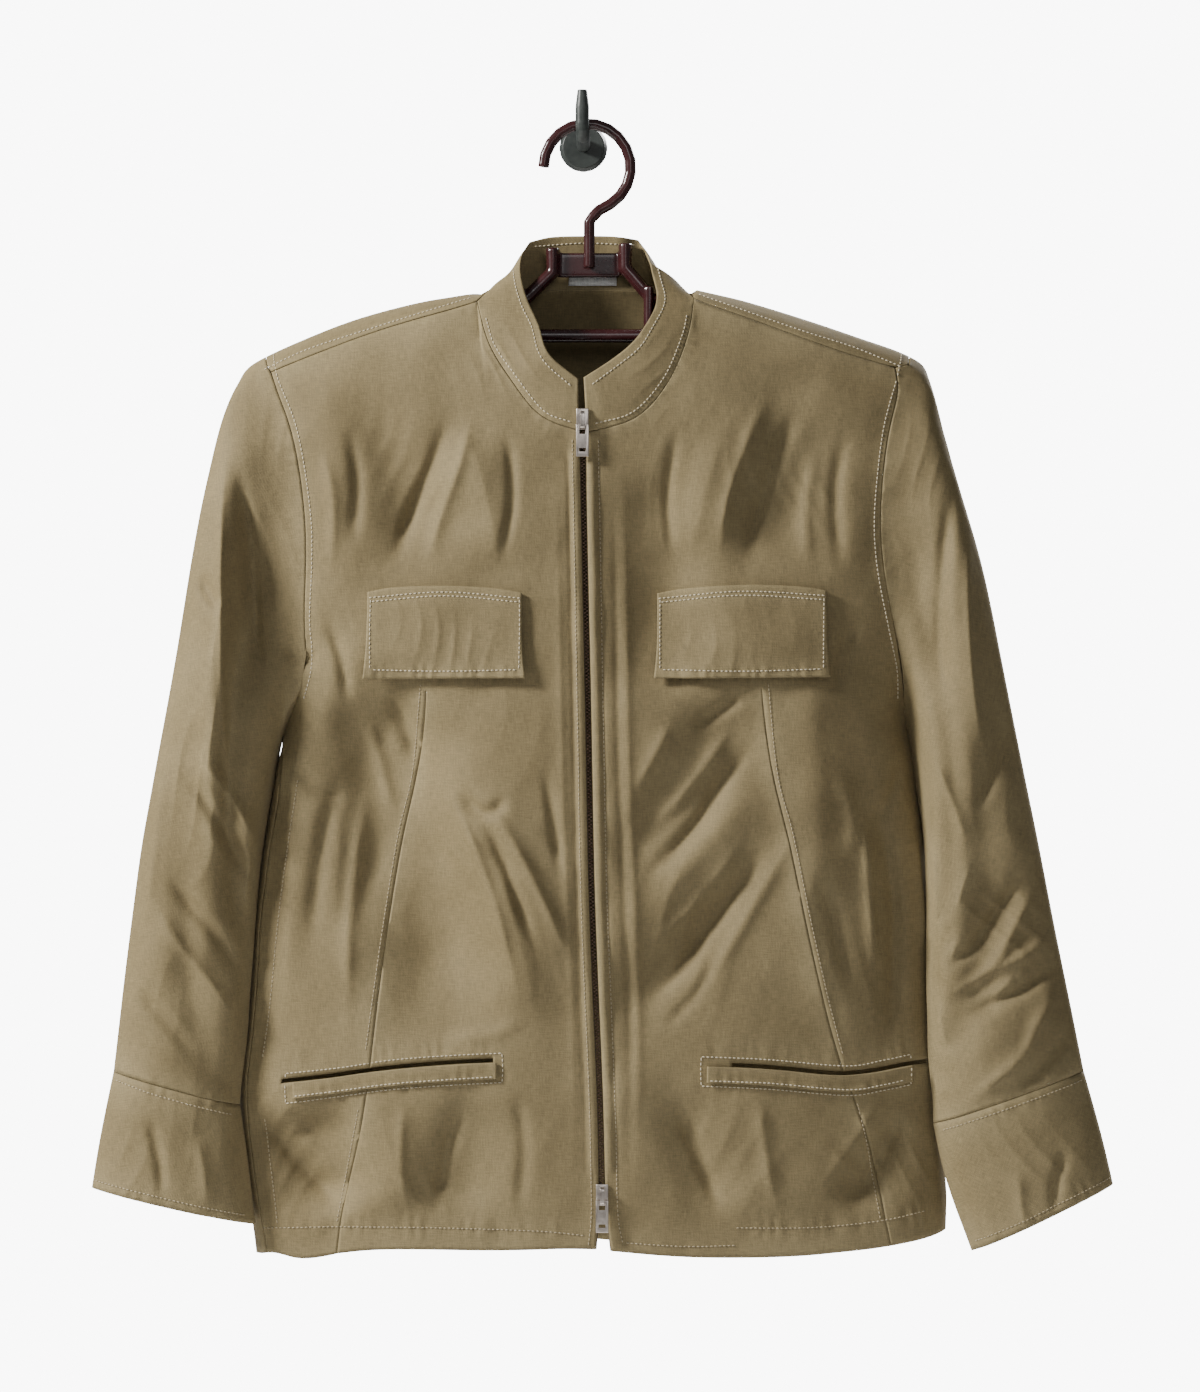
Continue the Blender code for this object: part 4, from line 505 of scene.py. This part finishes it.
def drapeShift(places, forward):
    # How far each point of the cloth moves forward (-Y) or back, in metres.
    # The sleeves hang further forward than the body from the armhole down.
    x, y, z = (places / mm).T
    middle = drape["hangPlane"] - forward * ease((drape["sleeveStart"] - z) / drape["sleeveRamp"])
    shift = np.zeros(len(places))
    for side in (-1, 1):
        depth = ease((y - middle) * side / drape["frontFade"])
        rise = np.zeros(len(places))
        for creaseSide, height, width, points in creases:
            if creaseSide != side:
                continue
            found, off, along, length = nearLine(x, z, softLine(points), 3 * width)
            ends = ease(along / (0.32 * length)) * ease((length - along) / (0.32 * length))
            power = 1.35 if height > 0 else 2.0     # crests are sharper than troughs
            profile = np.exp(-(off / width) ** power)
            rise[found] += drape["creaseShare"] * height * ends * profile
        for number, (puckerSide, height, pitch, reach, points) in enumerate(puckers):
            if puckerSide != side:
                continue
            found, off, along, length = nearLine(x, z, softLine(points), 3 * reach)
            beat = along / pitch * 2 * pi
            uneven = np.sin(beat + 1.7 * np.sin(beat * 0.31 + number))
            uneven = uneven * (0.65 + 0.35 * np.sin(beat * 0.23 + 2 * number))
            rise[found] += height * uneven * np.exp(-(off / reach) ** 2)
        for number, (patchSide, midX, midZ, reachX, reachZ, turn, gap, height) in enumerate(crumples):
            if patchSide != side:
                continue
            share = np.exp(-((x - midX) / reachX) ** 2 - ((z - midZ) / reachZ) ** 2)
            found = np.nonzero(share > 0.02)[0]
            px, pz = x[found] - midX, z[found] - midZ
            over = px * sin(radians(turn)) - pz * cos(radians(turn))
            down = px * cos(radians(turn)) + pz * sin(radians(turn))
            sway = 0.45 * np.sin(down / gap * 0.9 + number) + 0.35 * np.sin(down / gap * 0.37 + over / gap)
            over = over + gap * sway
            ridge = (1 - np.abs(np.sin(pi * over / gap))) ** 1.6 - 0.25
            uneven = 0.55 + 0.45 * np.sin(down / gap * 1.1 + over / gap * 0.7 + 2.1 * number)
            rise[found] += height * share[found] * ridge * uneven
        for wave, turn, start in waveFacts:
            rise += (drape["waveRise"] / 3.0) * np.sin((x * cos(turn) + z * sin(turn)) * 2 * pi / wave + start)
        if side < 0:
            rise *= ease((np.abs(x - zipMiddle(z)) - 4.0) / drape["zipClear"])
        shift += side * depth * rise * mm
    return shift


# Smoothing draws the pieces' edges in. By height, in mm: how far the body's sides go out again,
# how far the sleeves' inner edges go in, and where those edges are.
sideGain = ((-768, 7.0), (-726, 7.0), (-698, 5.5), (-671, 4.5), (-617, 3.5), (-508, 3.5), (-481, 4.5), (-454, 4.5),
            (-426, 5.5), (-408, 3.5), (-390, 1.5), (-372, 0.5), (-356, 0.0))
sleeveGain = ((-760, 3.0), (-640, 2.0), (-440, 2.0), (-400, 0.7), (-360, 0.0))
sleeveInner = ((-760, 238), (-640, 234), (-508, 227), (-426, 215), (-400, 214), (-340, 205))


def sideShift(places, isSleeve):
    # Sideways, so that each sleeve and the side of the body beside it meet as seen from the front
    x, _, z = (places / mm).T
    if isSleeve:
        near = ease(1 - (np.abs(x) - np.interp(z, *zip(*sleeveInner))) / 26)
        return -np.sign(x) * near * np.interp(z, *zip(*sleeveGain)) * mm
    return np.sign(x) * ease((np.abs(x) - 165) / 30) * np.interp(z, *zip(*sideGain)) * mm


def placketShift(places):
    # The rounded folds beside the zip, on the fronts alone
    x, _, z = (places / mm).T
    off = (np.abs(x - zipMiddle(z)) - 2.4) / drape["placketWidth"]
    ends = ease((-212 - z) / 12) * ease((z + 712) / 12)
    inside = (off > 0) & (off < 1)
    bulge = np.where(inside, np.sin(pi * np.clip(off, 0, 1)) ** 0.8, 0.0)
    groove = -0.55 * np.exp(-((off - 1.08) / 0.22) ** 2)
    return -(bulge + groove) * ends * drape["placketRise"] * mm


def arrays(mesh):
    places = np.empty(len(mesh.vertices) * 3, np.float32)
    mesh.vertices.foreach_get("co", places)
    return places.reshape(-1, 3).astype(float)


def mergedCopy(node):
    bm = bmesh.new()
    bm.from_mesh(nodes[node].data)
    bmesh.ops.remove_doubles(bm, verts=bm.verts, dist=0.00002)
    return bm


def finished(name, bm, look):
    mesh = bpy.data.meshes.new(name)
    bm.to_mesh(mesh)
    bm.free()
    made = bpy.data.objects.new(name, mesh)
    bpy.context.scene.collection.objects.link(made)
    mesh.materials.clear()
    mesh.materials.append(look)
    for face in mesh.polygons:
        face.material_index = 0
    return made


def applied(made):
    # The object's mesh with its modifiers worked in
    graph = bpy.context.evaluated_depsgraph_get()
    mesh = bpy.data.meshes.new_from_object(made.evaluated_get(graph))
    made.modifiers.clear()
    made.data = mesh
    return made


def clothUv(mesh, turn):
    # Each face is laid on the plane it looks along, with the grain along the piece
    count = len(mesh.polygons)
    normals = np.empty(count * 3, np.float32)
    mesh.polygons.foreach_get("normal", normals)
    sizes = np.empty(count, np.int32)
    mesh.polygons.foreach_get("loop_total", sizes)
    corners = np.empty(len(mesh.loops), np.int32)
    mesh.loops.foreach_get("vertex_index", corners)
    facing = np.repeat(np.abs(normals.reshape(-1, 3)).argmax(1), sizes)
    p = arrays(mesh)[corners]
    across = np.where(facing == 0, p[:, 1], p[:, 0])
    up = np.where(facing == 2, p[:, 1], p[:, 2])
    uv = np.stack([across * cos(turn) + up * sin(turn), up * cos(turn) - across * sin(turn)], 1)
    layer = mesh.uv_layers.get("clothUv") or mesh.uv_layers.new(name="clothUv")
    layer.data.foreach_set("uv", uv.astype(np.float32).ravel())


def clothPiece(name, node, levels, look, turn=0.0, rim=1.0):
    bm = mergedCopy(node)
    bmesh.ops.join_triangles(bm, faces=bm.faces, angle_face_threshold=radians(50),
                             angle_shape_threshold=radians(85))
    crease = bm.edges.layers.float.new("crease_edge")
    wear = bm.verts.layers.float.new("seamWear")
    for edge in bm.edges:
        if len(edge.link_faces) == 2 and edge.calc_face_angle() > radians(42):
            edge[crease] = rim
            for vert in edge.verts:
                vert[wear] = 1.0
    made = finished(name, bm, look)
    smooth = made.modifiers.new("smooth", "SUBSURF")
    smooth.levels = smooth.render_levels = levels
    applied(made)
    mesh = made.data
    places = arrays(mesh)
    isSleeve = "sleeve" in node or "cuff" in node
    shift = drapeShift(places, drape["sleevesForward"] if isSleeve else 0.0)
    if node.startswith("front"):
        shift += placketShift(places)
    if isSleeve or node.startswith(("front", "welt")) or node == "back":
        places[:, 0] += sideShift(places, isSleeve)
    places[:, 1] += shift
    mesh.vertices.foreach_set("co", places.astype(np.float32).ravel())
    mesh.update()
    mesh.shade_smooth()
    mesh.set_sharp_from_angle(angle=radians(55))
    clothUv(mesh, turn)
    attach(made, "garment")
    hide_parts(node)
    return made


# Node, piece, subdivision, grain turn in degrees, the flat cut's width and length in metres,
# the share of that rectangle that the cut fills, what the piece hangs on
cloths = (
    ("back", "clothBack", 2, 0, 0.50, 0.67, 0.86, "hanger_body"),
    ("front_left", "clothFrontLeft", 3, 0, 0.26, 0.64, 0.80, "hanger_body"),
    ("front_right", "clothFrontRight", 3, 0, 0.26, 0.64, 0.80, "hanger_body"),
    ("sleeve_left_front", "clothSleeveLeftFront", 3, 10, 0.20, 0.52, 0.72, "clothFrontLeft"),
    ("sleeve_left_back", "clothSleeveLeftBack", 2, 10, 0.12, 0.50, 0.80, "clothBack"),
    ("sleeve_right_front", "clothSleeveRightFront", 3, -13, 0.20, 0.52, 0.72, "clothFrontRight"),
    ("sleeve_right_back", "clothSleeveRightBack", 2, -13, 0.12, 0.50, 0.80, "clothBack"),
    ("cuff_left", "clothCuffLeft", 3, 10, 0.24, 0.09, 0.95, "clothSleeveLeftFront"),
    ("cuff_right", "clothCuffRight", 3, -20, 0.26, 0.10, 0.95, "clothSleeveRightFront"),
    ("collar", "clothCollar", 3, 0, 0.40, 0.042, 0.90, "clothBack"),
    ("flap_left", "flapLeft", 3, 0, 0.115, 0.065, 0.98, "clothFrontLeft"),
    ("flap_right", "flapRight", 3, 0, 0.125, 0.065, 0.98, "clothFrontRight"),
    ("welt_left", "weltLeft", 3, 0, 0.143, 0.013, 1.0, "clothFrontLeft"),
    ("welt_right", "weltRight", 3, 0, 0.139, 0.013, 1.0, "clothFrontRight"),
)
shellPieces = []
for node, name, levels, turn, width, length, share, hangs in cloths:
    made = clothPiece(name, node, levels, twill, radians(turn))
    shellPieces.append(made)
    half = sum(face.area for face in made.data.polygons) / 2
    print(name, len(made.data.polygons) * 2, "triangles, area", round(half, 4),
          "flat", round(width * length * share, 4))

labelPiece = clothPiece("neckLabel", "neck_label", 2, label)
for node, name in (("zip_tape_left", "zipTapeLeft"), ("zip_tape_right", "zipTapeRight")):
    made = clothPiece(name, node, 2, tape)

print("stitching")

surface = BVHTree.FromPolygons(
    [tuple(p) for made in shellPieces for p in arrays(made.data)],
    [tuple(v + start for v in face.vertices)
     for made, start in zip(shellPieces, np.cumsum([0] + [len(m.data.vertices) for m in shellPieces]))
     for face in made.data.polygons])


def onSurface(line, side, step=1.2):
    # Places and normals on the cloth along a line, broken where the cloth ends or jumps
    fine = []
    for a, b in zip(line[:-1], line[1:]):
        count = max(int(np.hypot(*(b - a)) / step), 1)
        fine += [a + (b - a) * i / count for i in range(count)]
    fine.append(line[-1])
    runs, run = [], []
    start = -0.3 if side < 0 else -0.005
    for x, z in fine:
        spot, normal, _, _ = surface.ray_cast(Vector((x * mm, start, z * mm)), Vector((0, -side, 0)))
        jump = spot is None or (run and (spot - run[-1][0]).length > 0.006)
        if jump and run:
            runs.append(run)
            run = []
        if spot is not None:
            run.append((spot, normal if normal.y * side > 0 else -normal))
    return runs + [run]


def manyOf(name, pattern, placings, look):
    # One joined mesh of a small shape, repeated at each matrix
    count = len(pattern.vertices)
    base = np.c_[arrays(pattern), np.ones(count)]
    places = np.concatenate([base @ np.array(m.transposed())[:, :3] for m in placings])
    faces = [tuple(v for v in face.vertices) for face in pattern.polygons]
    mesh = bpy.data.meshes.new(name)
    mesh.from_pydata(places.tolist(), [], [tuple(v + n * count for v in face)
                                           for n in range(len(placings)) for face in faces])
    mesh.materials.append(look)
    mesh.shade_smooth()
    made = bpy.data.objects.new(name, mesh)
    bpy.context.scene.collection.objects.link(made)
    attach(made, "garment")
    return made


stitch = {
    "pitch": 3.0,       # millimetres from one stitch to the next
    "length": 2.6,
    "thickness": 0.95,
    "sink": 0.05,
}


def stitchShape():
    bm = bmesh.new()
    size = Matrix.Diagonal((stitch["length"] / 2 * mm, stitch["thickness"] / 2 * mm,
                            stitch["thickness"] / 2 * mm, 1))
    bmesh.ops.create_icosphere(bm, subdivisions=1, radius=1.0, matrix=size)
    mesh = bpy.data.meshes.new("stitchShape")
    bm.to_mesh(mesh)
    bm.free()
    return mesh


def stitchPlaces(side, points):
    placings = []
    for run in onSurface(softLine(points), side):
        if len(run) < 3:
            continue
        lengths = np.r_[0, np.cumsum([(b[0] - a[0]).length for a, b in zip(run, run[1:])])]
        spots = np.array([spot for spot, _ in run])
        normals = np.array([normal for _, normal in run])
        count = int(lengths[-1] / (stitch["pitch"] * mm))
        for n in range(count):
            at = (n + 0.5) * lengths[-1] / count
            ends = [np.array([np.interp(at + d * mm, lengths, spots[:, k]) for k in range(3)])
                    for d in (-1.2, 1.2)]
            normal = Vector([np.interp(at, lengths, normals[:, k]) for k in range(3)]).normalized()
            along = Vector(ends[1] - ends[0])
            along = (along - normal * along.dot(normal)).normalized()
            lift = (stitch["thickness"] / 2 - stitch["sink"]) * mm * 0.4
            middle = Vector((ends[0] + ends[1]) / 2) + normal * lift
            turn = Matrix((along, normal.cross(along), normal)).transposed().to_4x4()
            placings.append(Matrix.Translation(middle) @ turn)
    return placings


# Rows of stitches: name, thread, then front or back and the line of each row
seamRows = (
    ("stitchesZip", clothThread, (
        (-1, ((-7.2, -208), (-3.8, -386), (-1.1, -522), (4.4, -658), (5.7, -719), (5.5, -740), (3.6, -757))),
        (-1, ((10.4, -208), (13.6, -386), (16.3, -522), (21.8, -658), (23.1, -719), (24.2, -740), (27, -755))))),
    ("stitchesHem", clothThread, (
        (-1, ((-219, -747), (-160, -745), (-100, -745), (-30, -747), (1, -750))),
        (-1, ((29, -755), (70, -757.5), (104, -757))),
        (-1, ((104, -745), (160, -745), (204, -741), (234, -735))),
        (1, ((-222, -747), (-100, -745), (0, -745), (120, -745), (238, -736))))),
    ("stitchesFlapLeft", paleThread, (
        (-1, ((-144.5, -317), (-145, -340), (-145, -364.5))),
        (-1, ((-143, -365), (-94, -366), (-45, -365))),
        (-1, ((-43.5, -364.5), (-43, -340), (-43, -317))),
        (-1, ((-146, -316), (-94, -312.2), (-42, -316.5))),
        (-1, ((-144, -318.6), (-94, -314.8), (-44, -319))))),
    ("stitchesFlapRight", paleThread, (
        (-1, ((52.5, -317), (52.3, -340), (52.3, -364.5))),
        (-1, ((54, -365), (108, -366), (162, -364.5))),
        (-1, ((163.5, -364), (163.7, -340), (164, -316))),
        (-1, ((51, -316.5), (108, -311.7), (165, -314.5))),
        (-1, ((53, -319), (108, -314.4), (163, -317.2))))),
    ("stitchesWelts", paleThread, (
        (-1, ((-203, -640.5), (-165, -636), (-130, -630.5), (-92, -627.5), (-55, -625.5))),
        (-1, ((-203, -661), (-165, -655.5), (-130, -650.5), (-92, -647.5), (-55, -645.5))),
        (-1, ((-197, -655.8), (-165, -651.5), (-130, -646.5), (-92, -643.5), (-61, -641.6))),
        (-1, ((-203, -640.5), (-203.5, -650), (-203, -661))),
        (-1, ((-55, -625.5), (-54.5, -635), (-55, -645.5))),
        (-1, ((80.5, -628), (105, -629), (130, -630.5), (180, -635), (205, -631.5), (224, -628))),
        (-1, ((80.5, -648), (105, -649), (130, -650.5), (180, -655), (205, -652), (224, -648.5))),
        (-1, ((86, -644.3), (105, -645), (130, -646.3), (180, -651), (205, -648), (219, -645.2))),
        (-1, ((80.5, -628), (80, -638), (80.5, -648))),
        (-1, ((224, -628), (224.5, -638), (224, -648.5))))),
    ("stitchesPanels", clothThread, (
        (-1, ((-110.5, -374), (-117, -437), (-126.5, -477), (-136, -536), (-143, -587), (-148, -624))),
        (-1, ((-153, -664), (-160, -700), (-168, -742))),
        (-1, ((126, -374), (132.5, -437), (143, -477), (155, -536), (166.5, -587), (177, -627))),
        (-1, ((187, -660), (194, -690), (203, -740))),
        (-1, ((-195, -440), (-206.5, -521), (-213.5, -590), (-219, -630))),
        (-1, ((-218, -672), (-213, -712), (-209, -744))))),
    ("stitchesShoulders", paleThread, (
        (-1, ((-219, -159), (-190, -145.5), (-150, -132.5), (-100, -116.8), (-77, -109.5))),
        (-1, ((79, -107), (100, -114.8), (150, -132.5), (185, -143.5), (218, -157))))),
    ("stitchesArmholes", paleThread, (
        (-1, ((-213.5, -143), (-209.5, -164), (-195, -202), (-186, -256), (-185, -292), (-186.5, -330),
              (-185, -351), (-186, -367), (-191, -385))),
        (-1, ((220, -143), (215.3, -164), (205, -202), (199, -256), (200.3, -292), (207.3, -330),
              (212, -351), (215, -367), (215.5, -385))),
        (1, ((-216, -150), (-204, -190), (-193, -256), (-193, -330), (-196, -385))),
        (1, ((222, -150), (212, -190), (206, -256), (214, -330), (217, -385))))),
    ("stitchesCollar", paleThread, (
        (-1, ((-8, -172), (-24, -158), (-31, -147), (-35, -131), (-42, -116), (-46.5, -101), (-48.5, -86))),
        (-1, ((6, -171), (22, -159), (38, -146), (47.5, -131), (56, -113), (53, -96), (49.5, -82))),
        (-1, ((-66.5, -124), (-60.5, -143), (-47, -163), (-27, -188.5), (-8, -196.5))),
        (-1, ((71, -122), (67.5, -137), (55, -166), (34, -189.5), (8, -197.5))),
        (-1, ((-34, -72.5), (0, -70), (36, -71.5))),
        (1, ((-48, -85), (-24, -71), (0, -69.5), (26, -71), (48, -84))))),
    ("stitchesCuffs", clothThread, (
        (-1, ((-319, -645), (-292, -654), (-262, -662.5), (-240, -668.5))),
        (-1, ((-333, -713.6), (-300, -721), (-262, -730), (-231, -737))),
        (-1, ((341, -645), (300, -659.8), (262, -673.5), (246, -679.5))),
        (-1, ((360, -711.8), (330, -725.5), (298, -741), (268, -755))),
        (1, ((-319, -645), (-292, -654), (-262, -662.5), (-240, -668.5))),
        (1, ((-333, -713.6), (-300, -721), (-262, -730), (-231, -737))),
        (1, ((341, -645), (300, -659.8), (262, -673.5), (246, -679.5))),
        (1, ((360, -711.8), (330, -725.5), (298, -741), (268, -755))))),
)
oneStitch = stitchShape()
for name, thread, rows in seamRows:
    placings = [m for side, points in rows for m in stitchPlaces(side, points)]
    manyOf(name, oneStitch, placings, thread)
    print(name, len(placings), "stitches")
bpy.data.meshes.remove(oneStitch)

print("zip")

zipShape = {
    "pitch": 2.5,       # millimetres between teeth on one side
    "tooth": (1.9, 1.7, 1.15),
    "bevel": 0.28,
    "offset": 0.75,     # each row's middle from the zip's middle
}


def toothShape():
    bm = bmesh.new()
    size = Matrix.Diagonal((*(d * mm for d in zipShape["tooth"]), 1))
    bmesh.ops.create_cube(bm, size=1.0, matrix=size)
    bmesh.ops.bevel(bm, geom=bm.edges[:], offset=zipShape["bevel"] * mm, segments=1, profile=0.5,
                    affect="EDGES", material=-1)
    mesh = bpy.data.meshes.new("toothShape")
    bm.to_mesh(mesh)
    bm.free()
    return mesh


chain = arrays(nodes["zip_chain"].data)
levels = np.unique(np.round(chain[:, 2], 4))
middles = np.array([chain[np.abs(chain[:, 2] - z) < 0.0004].mean(0) for z in levels])
teeth = []
for number, z in enumerate(np.arange(levels[0] + 0.001, levels[-1] - 0.001, zipShape["pitch"] / 2 * mm)):
    side = -1 if number % 2 else 1
    x, y = (np.interp(z, levels, middles[:, k]) for k in (0, 1))
    teeth.append(Matrix.Translation((x + side * zipShape["offset"] * mm, y, z)))
oneTooth = toothShape()
zipTeethPiece = manyOf("zipTeeth", oneTooth, teeth, zipTeeth)
bpy.data.meshes.remove(oneTooth)
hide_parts("zip_chain")


def beveledPiece(name, node, body, look, width, segments=3):
    bm = mergedCopy(node)
    bmesh.ops.dissolve_limit(bm, angle_limit=radians(1.5), verts=bm.verts, edges=bm.edges)
    made = finished(name, bm, look)
    rounding = made.modifiers.new("round", "BEVEL")
    rounding.width = width * mm
    rounding.segments = segments
    rounding.angle_limit = radians(32)
    rounding.use_clamp_overlap = True
    applied(made)
    made.data.shade_smooth()
    made.data.set_sharp_from_angle(angle=radians(50))
    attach(made, body)
    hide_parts(node)
    return made


for node, name, body in (("slider_upper", "sliderUpper", "garment"),
                         ("slider_lower", "sliderLower", "garment"),
                         ("tab_upper", "tabUpper", "upper_tab"), ("tab_lower", "tabLower", "lower_tab")):
    beveledPiece(name, node, body, zipMetal, 0.25)

print("hanger and wall hook")


def roundedPiece(name, node, look, grain, passes):
    # The solid again with softly rounded edges, as moulded plastic has
    made = finished(name, mergedCopy(node), look)
    remesh = made.modifiers.new("even", "REMESH")
    remesh.mode = "VOXEL"
    remesh.voxel_size = grain * mm
    soften = made.modifiers.new("soften", "SMOOTH")
    soften.factor = 0.5
    soften.iterations = passes
    applied(made)
    made.data.shade_smooth()
    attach(made, "garment")
    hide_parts(node)
    print(name, len(made.data.polygons) * 2, "triangles")
    return made


roundedPiece("hangerHook", "hanger_hook", hangerPlastic, 0.7, 4)
roundedPiece("hangerBody", "hanger_body", hangerPlastic, 1.1, 3)
roundedPiece("wallHookBase", "wall_hook_base", hookPlastic, 0.6, 5)
roundedPiece("wallHookProng", "wall_hook_prong", hookPlastic, 0.5, 5)

print("floor, camera and light")

studio = {
    "pixel": 0.68,          # millimetres of the jacket's front plane in one pixel of the photo
    "middle": (600, 696),   # the photo's middle, and the wall hook's middle in it
    "hook": (583, 133),
    "distance": 4.0,        # from the camera to the front plane
    "frontPlane": -0.110,
    "photoHeight": 1392,
    "floor": -1.15,
    "white": 9.0,           # what the camera sees behind the jacket
    "room": 0.13,           # how much light the white room gives
}


def studioStage():
    bm = bmesh.new()
    bmesh.ops.create_circle(bm, cap_ends=True, segments=96, radius=1.5,
                            matrix=Matrix.Translation((0, -0.25, studio["floor"])))
    floor = finished("floor", bm, bpy.data.materials.new("paleFloor"))
    floor.data.materials[0].use_nodes = True
    paint = floor.data.materials[0].node_tree.nodes["Principled BSDF"]
    paint.inputs["Base Color"].default_value = (0.82, 0.82, 0.81, 1)
    paint.inputs["Roughness"].default_value = 0.8

    world = bpy.data.worlds.new("room")
    bpy.context.scene.world = world
    world.use_nodes = True
    tree = world.node_tree
    tree.nodes.clear()
    path = tree.nodes.new("ShaderNodeLightPath")
    seen = addNode(tree, "ShaderNodeBackground", {"Color": (1, 1, 1, 1), "Strength": studio["white"]})
    given = addNode(tree, "ShaderNodeBackground", {"Color": (0.97, 0.98, 1.0, 1), "Strength": studio["room"]})
    either = tree.nodes.new("ShaderNodeMixShader")
    out = tree.nodes.new("ShaderNodeOutputWorld")
    tree.links.new(path.outputs["Is Camera Ray"], either.inputs[0])
    tree.links.new(given.outputs[0], either.inputs[1])
    tree.links.new(seen.outputs[0], either.inputs[2])
    tree.links.new(either.outputs[0], out.inputs["Surface"])


def softLight(name, place, aim, size, power, color=(1, 1, 1)):
    light = bpy.data.lights.new(name, "AREA")
    light.shape = "DISK"
    light.size = size
    light.energy = power
    light.color = color
    made = bpy.data.objects.new(name, light)
    bpy.context.scene.collection.objects.link(made)
    made.location = place
    made.rotation_euler = (Vector(aim) - Vector(place)).to_track_quat("-Z", "Y").to_euler()


def photoCamera():
    camera = bpy.data.cameras.new("camera")
    made = bpy.data.objects.new("camera", camera)
    bpy.context.scene.collection.objects.link(made)
    (middleX, middleY), (hookX, hookY) = studio["middle"], studio["hook"]
    pixel = studio["pixel"] * mm
    made.location = ((middleX - hookX) * pixel, studio["frontPlane"] - studio["distance"],
                     (hookY - middleY) * pixel)
    made.rotation_euler = (pi / 2, 0, 0)
    camera.lens = 36.0 * studio["distance"] / (studio["photoHeight"] * pixel)
    camera.sensor_width = 36.0
    camera.clip_end = 50
    bpy.context.scene.camera = made


studioStage()
photoCamera()
softLight("keyLight", (-2.05, -0.95, 0.85), (0, -0.1, -0.42), 0.55, 122, (1.0, 0.985, 0.95))
softLight("fillLight", (0.5, -3.1, 0.8), (0, -0.1, -0.4), 1.5, 12)
softLight("backLight", (1.3, 1.7, 1.0), (0, 0, -0.4), 1.0, 62)
